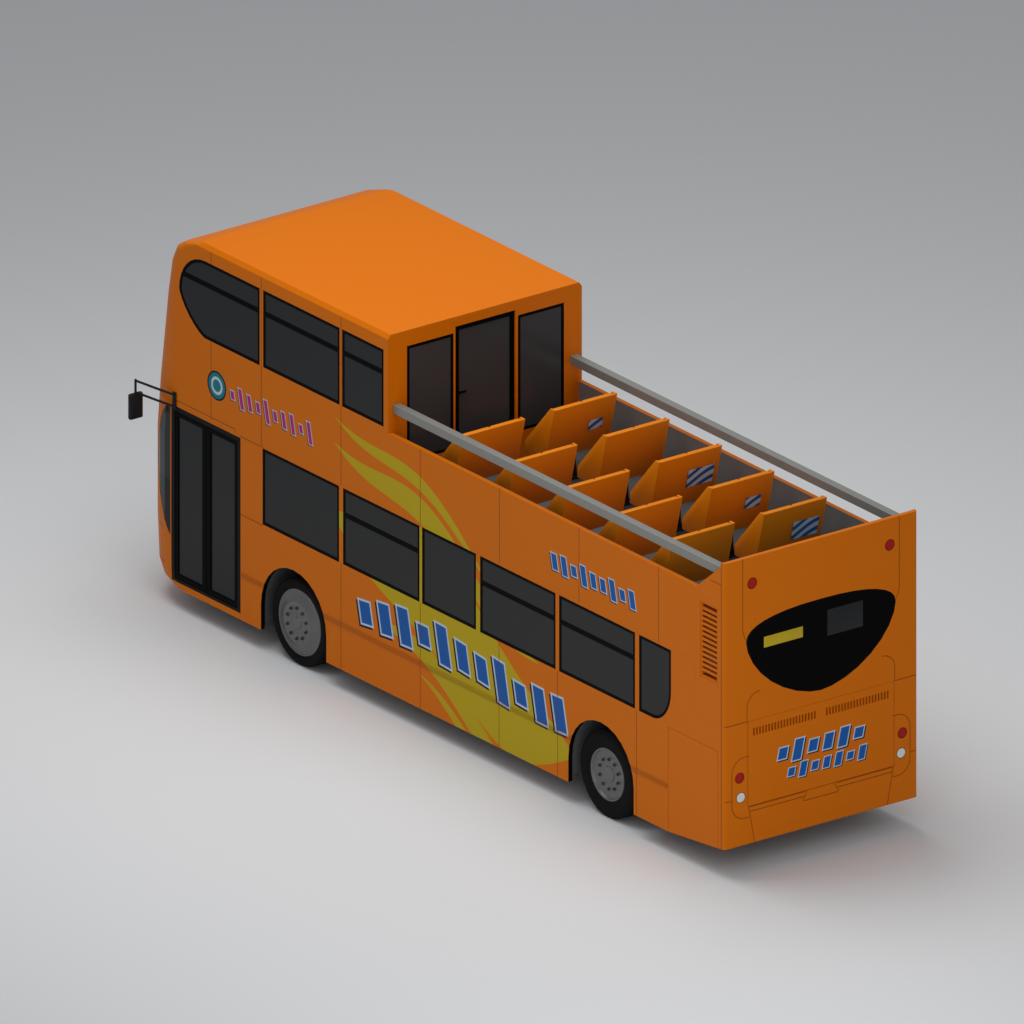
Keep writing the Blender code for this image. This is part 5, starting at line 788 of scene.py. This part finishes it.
class Wheels:
    """Tyres with treads and wheels with nuts."""

    SEGMENTS = 96
    BLOCKS = 64
    NUTS = 10

    SMOOTH = 28.0
    BLOCK_INSET = 0.030
    BLOCK_WIDTH = 0.028
    TWIN_GAP = 0.028
    RIM_INSET = 0.0206

    def __init__(self, box: Paintbox):
        self.box = box

    def build(self):
        """Build all four corners."""
        for side, word in ((1.0, "left"), (-1.0, "right")):
            self.front(side, word)
            self.rear(side, word)

    def tyre(self, place: str, word: str, centre: Place, side: float, tyres: Sequence[Tyre]):
        """One or two tyres as one piece, with the shoulder blocks of their treads."""
        kind = "tyre" if len(tyres) == 1 else "tyres"
        node, body = f"{place}_{kind}_{word}", f"{place}_wheel_{word}"
        graph = bmesh.new()
        for tyre in tyres:
            Shaper.add_lathe(graph, tyre.section(), centre, side, self.SEGMENTS)
        self.box.dress(Shaper.piece(f"{node}_look", graph, self.SMOOTH), Look.TYRE, body, node)
        for number, tyre in enumerate(tyres):
            for edge in (self.BLOCK_INSET, tyre.width - self.BLOCK_INSET - self.BLOCK_WIDTH):
                start = side * (tyre.face - edge)
                low, high = sorted((start, start - side * self.BLOCK_WIDTH))
                half = math.pi * tyre.radius / self.BLOCKS * 0.86
                unit = Shaper.slab(
                    "block", (-half, low, tyre.radius - tyre.groove - 0.002),
                    (half, high, tyre.radius - 0.0006), 0.0)
                blocks = Repeater.ring(
                    unit, f"{node}_look_blocks_{number}_{edge:.3f}", self.BLOCKS, centre)
                self.box.dress(blocks, Look.TYRE, body)

    def disc(self, place: str, word: str, centre: Place, side: float, profile: Sequence[Point]):
        """A wheel turned from its profile, in place of the solid one."""
        graph = bmesh.new()
        Shaper.add_lathe(graph, profile, centre, side, self.SEGMENTS, closed=False)
        name = f"{place}_wheel_{word}"
        self.box.dress(Shaper.piece(f"{name}_look", graph, self.SMOOTH), Look.SILVER, name, name)

    def nuts(self, place: str, word: str, centre: Place, side: float, radius: float, face: float):
        """A ring of wheel nuts on a face."""
        graph = bmesh.new()
        for start, end, wide, segments in (
                (-0.002, 0.008, 0.021, 20), (0.0, 0.024, 0.0165, 6), (0.0, 0.032, 0.010, 12)):
            Shaper.add_rod(
                graph, (0.0, side * (face + start), radius), (0.0, side * (face + end), radius),
                wide, segments)
        ring = Repeater.ring(
            Shaper.piece("nut", graph), f"{place}_nuts_{word}", self.NUTS, centre)
        self.box.dress(ring, Look.NUT, f"{place}_wheel_{word}")

    def front(self, side: float, word: str):
        """A steered wheel with its blunt cone of a trim."""
        centre = (BODY.at(BODY.front_axle), 0.0, BODY.hub_height)
        tyre = Tyre(bead=0.368)
        self.tyre("front", word, centre, side, [tyre])
        face = tyre.face - self.RIM_INSET
        profile = [(radius, face + out) for radius, out in (
            (0.0, 0.045), (0.050, 0.045), (0.060, 0.042), (0.064, 0.034), (0.110, 0.034),
            (0.118, 0.040), (0.226, 0.045), (0.238, 0.042), (0.246, 0.034), (0.340, 0.004),
            (0.348, 0.003), (0.352, 0.008), (0.364, 0.008), (0.3675, 0.002), (0.3675, -0.230),
            (0.352, -0.232), (0.352, -0.030), (0.235, -0.016), (0.128, -0.014))]
        profile += [(0.128, 0.9915), (0.0, 0.9915)]
        self.disc("front", word, centre, side, profile)
        self.nuts("front", word, centre, side, 0.172, face + 0.043)

    def rear(self, side: float, word: str):
        """A driven wheel with twin tyres and a flat disc set back in its rim."""
        centre = (BODY.at(BODY.rear_axle), 0.0, BODY.hub_height)
        outer = Tyre(bead=0.293)
        inner = Tyre(bead=0.293, face=outer.face - outer.width - self.TWIN_GAP)
        self.tyre("rear", word, centre, side, [outer, inner])
        face = outer.face - self.RIM_INSET
        disc = face - 0.020
        profile = [
            (0.0, disc + 0.016), (0.070, disc + 0.016), (0.084, disc + 0.012), (0.090, disc),
            (0.250, disc), (0.262, disc + 0.004), (0.272, face + 0.002), (0.276, face + 0.006),
            (0.289, face + 0.006), (0.2925, face), (0.2925, 0.652), (0.279, 0.650), (0.279, disc - 0.028),
            (0.128, disc - 0.022), (0.128, 0.6445), (0.0, 0.6445),
        ]
        self.disc("rear", word, centre, side, profile)
        self.nuts("rear", word, centre, side, 0.1675, disc)


@dataclass(frozen=True)
class SeatRow:
    """A column of seat pairs.

    Args:
        name: Name of the solid node that it replaces.
        station: Station of the first row's upper rear edge.
        count: Number of rows.
        pitch: Distance between rows.
        floor: Height of the floor that it stands on.
        side: 1 for the left, -1 for the right.
        inner: Distance of its inner side from the middle.
        outer: Distance of its outer side from the middle.
    """

    name: str
    station: float
    count: int
    pitch: float
    floor: float
    side: float
    inner: float = 0.19
    outer: float = 1.02


class Seats:
    """Shells, cushions and legs of the passenger seats."""

    BACK = 0.945
    THICKNESS = 0.075
    RAKE = 0.16
    LENGTH = 0.52
    CUSHION = 0.43
    BASE = CUSHION - 0.11
    DROP = 0.487
    WING = 0.022
    SEAM = 0.006
    PADDING = 0.75

    ROWS = (
        SeatRow("open_deck_seats_left", 1.25, 5, 0.92, BODY.deck, 1.0),
        SeatRow("open_deck_seats_right", 1.25, 5, 0.92, BODY.deck, -1.0),
        SeatRow("covered_seats_left", 6.98, 3, 0.86, BODY.deck, 1.0),
        SeatRow("covered_seats_right", 8.80, 1, 0.86, BODY.deck, -1.0),
        SeatRow("lower_seats_left", 3.36, 4, 0.82, 0.34, 1.0),
        SeatRow("lower_seats_right", 3.36, 4, 0.82, 0.34, -1.0),
        SeatRow("rear_bench", 1.62, 1, 0.82, 0.80, 1.0, -0.5197, 0.5197),
    )
    TURN = Matrix.Rotation(-math.atan2(RAKE, BACK - BASE), 4, "Y")
    BACK_LENGTH = math.hypot(RAKE, BACK - BASE)

    def __init__(self, box: Paintbox):
        self.box = box

    def build(self):
        """Build every column by repeating the pieces of its first pair."""
        for row in self.ROWS:
            low, high = sorted((row.side * row.inner, row.side * row.outer))
            rear = BODY.at(row.station)
            for word, build, finish in (
                    ("shells", self.shells, Look.SEAT), ("cushions", self.cushions, Look.CUSHION),
                    ("legs", self.legs, Look.STEEL)):
                made = Repeater.row(
                    build(rear, row.floor, low, high), f"{row.name}_{word}", row.count,
                    (row.pitch, 0.0, 0.0))
                self.box.dress(made, finish, "bus", *([row.name] if word == "shells" else []))
                word == "cushions"

    def wing(self, graph, rear: float, floor: float, low: float, high: float):
        """A side wing between the back and the cushion, as a bevelled prism."""
        top = floor + self.BACK
        front = rear + self.LENGTH
        outline = [
            (rear, top), (rear + self.RAKE, floor + self.BASE), (front, floor + self.BASE),
            (front, floor + self.CUSHION), (front - 0.012, top - self.DROP),
            (rear + self.THICKNESS, top),
        ]
        sides = [[graph.verts.new((x, y, z)) for x, z in outline] for y in (low, high)]
        graph.faces.new(sides[0])
        graph.faces.new(sides[1][::-1])
        Shaper.join(graph, [sides])
        edges = list({edge for vertex in sum(sides, []) for edge in vertex.link_edges})
        bmesh.ops.bevel(graph, geom=edges, offset=0.004, segments=2, profile=0.5, affect="EDGES")

    def shells(self, rear: float, floor: float, low: float, high: float) -> bpy.types.Object:
        """The moulded shell of one pair: two wings, a back board and a base."""
        graph = bmesh.new()
        self.wing(graph, rear, floor, low, low + self.WING)
        self.wing(graph, rear, floor, high - self.WING, high)
        middle = Vector((
            rear + self.RAKE / 2 + 0.016, (low + high) / 2, floor + (self.BACK + self.BASE) / 2))
        half = Vector((0.014, (high - low) / 2 - 0.010, self.BACK_LENGTH / 2 - 0.003))
        Shaper.add_slab(graph, middle - half, middle + half, 0.006, 2, self.TURN)
        base = floor + self.BASE
        Shaper.add_slab(
            graph, (rear + self.RAKE, low + 0.01, base), (rear + self.LENGTH, high - 0.01, base + 0.03),
            0.006)
        return Shaper.piece("shell", graph)

    def cushions(self, rear: float, floor: float, low: float, high: float) -> bpy.types.Object:
        """Two seat cushions and two back cushions with full edges."""
        graph = bmesh.new()
        top = floor + self.CUSHION
        span = (high - low - 2 * self.WING - 3 * self.SEAM) / 2
        for index in range(2):
            start = low + self.WING + self.SEAM + index * (span + self.SEAM)
            Shaper.add_slab(
                graph, (rear + self.RAKE + 0.06, start, top - 0.078),
                (rear + self.LENGTH - 0.004, start + span, top), 0.022, 4)
            middle = Vector((
                rear + self.RAKE / 2 + 0.052, start + span / 2,
                floor + (self.BACK + self.CUSHION) / 2 - 0.015))
            half = Vector((0.024, span / 2, self.BACK_LENGTH / 2 - 0.055))
            Shaper.add_slab(graph, middle - half, middle + half, 0.018, 4, self.TURN)
        return Shaper.piece("cushion", graph, 60.0)

    def legs(self, rear: float, floor: float, low: float, high: float) -> bpy.types.Object:
        """A pedestal and a foot under one pair."""
        middle = (low + high) / 2
        graph = bmesh.new()
        for start, end, half, base, top, bevel in (
                (0.20, 0.40, 0.12, 0.001, 0.022, 0.004),
                (0.25, 0.35, 0.06, 0.02, self.CUSHION - 0.10, 0.008)):
            Shaper.add_slab(
                graph, (rear + start, middle - half, floor + base),
                (rear + end, middle + half, floor + top), bevel)
        return Shaper.piece("leg", graph)


class Trim:
    """Small pieces that the solid model leaves out."""

    LAMPS = ((1.07, 1.11, 0.057), (1.055, 0.885, 0.057), (0.905, 3.28, 0.060))
    RING_SEGMENTS = 40
    WIPERS = (((0.12, 1.16), (0.46, 1.30), 0.009), ((0.18, 1.17), (0.74, 1.43), 0.006))
    POSTERS = ((4, 0.18, 0.12), (2, 0.34, 0.22), (1, 0.20, 0.14), (0, 0.34, 0.22))
    POSTER_MIDDLE = -0.78

    def __init__(self, box: Paintbox):
        self.box = box

    def build(self):
        """Build all the trim."""
        self.rub_strips()
        self.lamp_rings()
        self.flat_panels()
        self.wipers()
        self.mirror_glass()
        self.posters()

    def rub_strips(self):
        """The low moulding along each side, broken by the wheel arches."""
        arch = BODY.arch + 0.008
        rear, front = BODY.rear_axle, BODY.front_axle
        spans = ((0.995, rear - arch), (rear + arch, front - arch), (front + arch, 8.47))
        for side, word in ((1.0, "left"), (-1.0, "right")):
            low, high = sorted((side * (BODY.half_width - 0.002), side * (BODY.half_width + 0.005)))
            graph = bmesh.new()
            for start, end in spans:
                Shaper.add_slab(graph, (BODY.at(start), low, 0.734), (BODY.at(end), high, 0.770), 0.003)
            self.box.dress(Shaper.piece(f"rub_strip_{word}", graph), Look.PAINT, "bus")

    def lamp_rings(self):
        """Thin bezels round the rear lamps and markers."""
        graph = bmesh.new()
        x, half = BODY.rear + 0.0006, 0.0006
        turns = [2 * math.pi * step / self.RING_SEGMENTS for step in range(self.RING_SEGMENTS)]
        for y, z, radius in [(y * side, z, radius) for side in (1, -1) for y, z, radius in self.LAMPS]:
            inner, outer = radius - 0.003, radius + 0.004
            rings = [
                [graph.verts.new((x + depth, y + reach * math.cos(turn), z + reach * math.sin(turn)))
                 for turn in turns]
                for reach, depth in ((inner, -half), (outer, -half), (outer, half), (inner, half))
            ]
            Shaper.join(graph, zip(rings, rings[1:] + rings[:1]))
        self.box.dress(Shaper.piece("lamp_bezels", graph), Look.TRIM, "bus")

    def flat_panels(self):
        """The blank yellow and grey signs on the rear window, and a blank plate on the front."""
        face, back, front = BODY.rear + 0.0008, BODY.rear + 0.0066, BODY.at(BODY.length)
        for name, low, high, bevel, finish in (
                ("rear_sign_yellow", (face, 0.237, 2.51), (back, 0.75, 2.633), 0.0015, Look.YELLOW),
                ("rear_sign_grey", (face, -0.553, 2.445), (back, -0.086, 2.74), 0.0015, Look.GREY),
                ("front_plate", (front - 0.040, -0.26, 0.42), (front - 0.025, 0.26, 0.53), 0.003,
                 Look.PLATE)):
            self.box.dress(Shaper.slab(name, low, high, bevel), finish, "bus")

    def wipers(self):
        """Two wipers parked low on the windscreen, each an arm with a blade across its end."""
        graph = bmesh.new()
        x = BODY.at(BODY.length) - 0.0032
        for side in (1.0, -1.0):
            for start, end, wide in self.WIPERS:
                first, last = (Vector((x, side * y, z)) for y, z in (start, end))
                run = last - first
                half = Vector((0.0025, run.length / 2, wide))
                turn = Matrix.Rotation(math.atan2(run.z, run.y), 4, "X")
                middle = (first + last) / 2
                Shaper.add_slab(graph, middle - half, middle + half, 0.001, 1, turn)
        self.box.dress(Shaper.piece("wipers", graph), Look.TRIM, "bus")

    def mirror_glass(self):
        """The glass on the rear of each mirror head."""
        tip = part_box("mirror_left")[1]
        back = tip.x - 0.055
        glass = Shaper.slab(
            "mirror_glass_left", (back - 0.0015, tip.y - 0.155, 2.03), (back + 0.002, tip.y - 0.015, 2.28),
            0.001)
        for piece in (glass, Shaper.mirrored(glass, "mirror_glass_right")):
            self.box.dress(piece, Look.PANE, "bus")

    def posters(self):
        """Plain striped cards on the backs of some seats of the right column."""
        tree, shader = self.box.start(Look.POSTER)[1:]
        y, z = Shade.axes(tree)[1:]
        wave = z + (y * 9.0).sine() * 0.03 + y * 0.35
        band = abs(wave.repeat(0.11)).below(0.026)
        colour = Livery.layers(tree, Hue.PALE, [(band, Hue.BLUE)])
        tree.links.new(colour, shader.inputs["Base Color"])
        column = Seats.ROWS[1]
        graph = bmesh.new()
        for row, wide, tall in self.POSTERS:
            middle = Vector((
                BODY.at(column.station + column.pitch * row) + Seats.RAKE / 2 - 0.013,
                self.POSTER_MIDDLE, BODY.deck + Seats.BACK - 0.31))
            half = Vector((0.002, wide / 2, tall / 2))
            Shaper.add_slab(graph, middle - half, middle + half, 0.0008, 1, Seats.TURN)
        self.box.dress(Shaper.piece("seat_posters", graph), Look.POSTER, "bus")


class Solids:
    """Finishes of the solid nodes that are shown as they are."""

    PAINTED = (
        "side_panel_lower_left", "side_panel_lower_right", "side_panel_upper_left",
        "side_panel_upper_right", "front_panel_lower", "front_panel_upper", "roof_panel",
        "rear_panel_upper", "rear_panel_lower", "bulkhead_panel", "engine_lid", "engine_side_panel",
    )
    PLAIN = {
        Look.STEEL: ("chassis_frame", "front_axle", "rear_axle"),
        Look.FLOOR: ("lower_floor", "upper_floor", "staircase"),
        Look.RAIL: ("guard_rail_left", "guard_rail_right"),
        Look.CAB: ("driver_place", "mirror_left", "mirror_right"),
        Look.CASTING: ("engine_block", "steering_knuckle_left", "steering_knuckle_right"),
        Look.TRIM: ("entrance_frame",),
    }
    GLAZED = (
        "windows_lower_left", "windows_lower_right", "windows_upper_left", "windows_upper_right",
        "windscreen", "upper_screen", "bulkhead_windows", "bulkhead_door", "entrance_leaf_front",
        "entrance_leaf_rear", "rear_window",
    )

    PANES = {
        "windscreen": Look.SCREEN, "upper_screen": Look.SCREEN, "rear_window": Look.PRIVACY,
        "bulkhead_windows": Look.SHELTERED, "bulkhead_door": Look.SHELTERED,
    }
    LAMP_SPLIT = 0.99
    LENSES = (0.725, 0.935)
    LENS_HEIGHT = 0.62
    LENS_RADIUS = 0.084

    def __init__(self, box: Paintbox, nodes: dict[str, bpy.types.Object]):
        self.box = box
        self.nodes = nodes

    def paint(self):
        """Give each node its finish."""
        Livery(self.box).build()
        self.box.screen_glass()
        for name in self.PAINTED:
            self.fill(name, Look.PAINT)
        for finish, names in self.PLAIN.items():
            for name in names:
                self.fill(name, finish)
        for name in self.GLAZED:
            self.fill(name, Look.FRAME, self.PANES.get(name, Look.PANE), self.skin_of(name))
        for name in ("rear_lamps_left", "rear_lamps_right"):
            self.fill(name, Look.RED, Look.CLEAR, lambda c, n: c.z < self.LAMP_SPLIT)
        for name in ("headlamp_left", "headlamp_right"):
            self.fill(name, Look.CAB, Look.CLEAR, self.on_lens)
        # Faces set back from the side get the darker orange of painted shade.
        self.fill(
            "air_grille", Look.LOUVRE, Look.RECESS_SHADE, lambda c, n: c.y < BODY.half_width - 0.03)
        self.fill(
            "marker_lamps", Look.RED, Look.RAIL, lambda c, n: c.x > BODY.rear + BODY.wall)

    def fill(self, name: str, finish: Finish, other: Finish | None = None, test=None):
        """Put a finish on a node, and another one on the faces that pass a test.

        Args:
            name: The solid node.
            finish: Its finish.
            other: Finish of the faces that pass.
            test: Says of a face's centre and normal whether it passes.
        """
        mesh = self.nodes[name].data
        mesh.materials.clear()
        mesh.materials.append(self.box.plain(finish))
        if other is None:
            return
        mesh.materials.append(self.box.plain(other))
        for face in mesh.polygons:
            if test(face.center, face.normal):
                face.material_index = 1

    @classmethod
    def on_lens(cls, centre: Vector, normal: Vector) -> bool:
        """Whether a headlamp's face is one of its two round lenses."""
        across = abs(centre.y)
        near = min(math.hypot(across - middle, centre.z - cls.LENS_HEIGHT) for middle in cls.LENSES)
        return near < cls.LENS_RADIUS and abs(normal.x) > 0.6

    @staticmethod
    def skin_of(name: str) -> Callable[[Vector, Vector], bool]:
        """A test for whether a face belongs to a pane."""
        side, bulkhead = BODY.half_width, BODY.at(5.895)
        insets = {"windows": (0.0165, 0.0035), "entrance": (0.030, 0.018)}.get(name.split("_")[0])
        if insets:
            low, high = (side - inset for inset in insets)
            return lambda c, n: low < abs(c.y) < high and abs(n.y) > 0.9
        span = {
            "rear_window": (BODY.rear + 0.01, BODY.rear + 0.016),
            "bulkhead_windows": (bulkhead + 0.004, bulkhead + 0.016),
            "bulkhead_door": (bulkhead + 0.026, bulkhead + 0.038),
        }.get(name)
        if span:
            return lambda c, n: span[0] < c.x < span[1] and abs(n.x) > 0.9
        return lambda c, n: True


class Studio:
    """Floor, lights and camera."""

    LOOK_AT = Vector((0.271, 0.0, 2.136))
    BACK = Vector((-4.0, 3.0, 2.0)).normalized()
    SPAN = 10.779

    def __init__(self, box: Paintbox):
        self.box = box

    def build(self):
        """Set up everything that isn't the bus."""
        self.floor()
        self.lights()
        self.camera()
        settings = bpy.context.scene.view_settings
        settings.view_transform = "Standard"
        settings.look = "None"
        bpy.context.scene.display_settings.display_device = "sRGB"

    def floor(self):
        """A large pale floor."""
        graph = bmesh.new()
        bmesh.ops.create_grid(graph, x_segments=1, y_segments=1, size=80.0)
        floor = Shaper.piece("floor", graph)
        floor.location.z = -0.001
        floor.data.materials.append(self.box.plain(Look.GROUND))

    def lights(self):
        """A soft sky, a broad key from above and a weak fill from the camera's side."""
        world = bpy.data.worlds.new("studio")
        world.use_nodes = True
        background = world.node_tree.nodes["Background"]
        background.inputs[0].default_value = (0.80, 0.82, 0.85, 1.0)
        background.inputs[1].default_value = 0.36
        bpy.context.scene.world = world
        self.area("key", (1.0, 1.6, 14.0), 11.0, 1180.0)
        self.area("fill", (-13.0, 6.5, 6.0), 9.0, 330.0)

    def area(self, name: str, place: Place, size: float, power: float):
        """A square lamp that faces the bus."""
        lamp = bpy.data.lights.new(name, "AREA")
        lamp.size = size
        lamp.energy = power
        made = bpy.data.objects.new(name, lamp)
        made.location = place
        away = Vector(place) - Vector((0.0, 0.0, 2.0))
        made.rotation_mode = "QUATERNION"
        made.rotation_quaternion = away.to_track_quat("Z", "Y")
        bpy.context.scene.collection.objects.link(made)

    def camera(self):
        """The photo's own orthographic view."""
        data = bpy.data.cameras.new("camera")
        data.type = "ORTHO"
        data.ortho_scale = self.SPAN
        camera = bpy.data.objects.new("camera", data)
        camera.location = self.LOOK_AT + self.BACK * 40.0
        camera.rotation_mode = "QUATERNION"
        camera.rotation_quaternion = self.BACK.to_track_quat("Z", "Y")
        data.clip_end = 200.0
        bpy.context.scene.collection.objects.link(camera)
        bpy.context.scene.camera = camera


def main():
    """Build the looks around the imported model."""
    logging.basicConfig(level=logging.INFO, format="%(message)s")
    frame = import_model()
    box = Paintbox()
    Solids(box, frame["nodes"]).paint()
    Wheels(box).build()
    Seats(box).build()
    Trim(box).build()
    Studio(box).build()


if __name__ == "__main__":
    main()
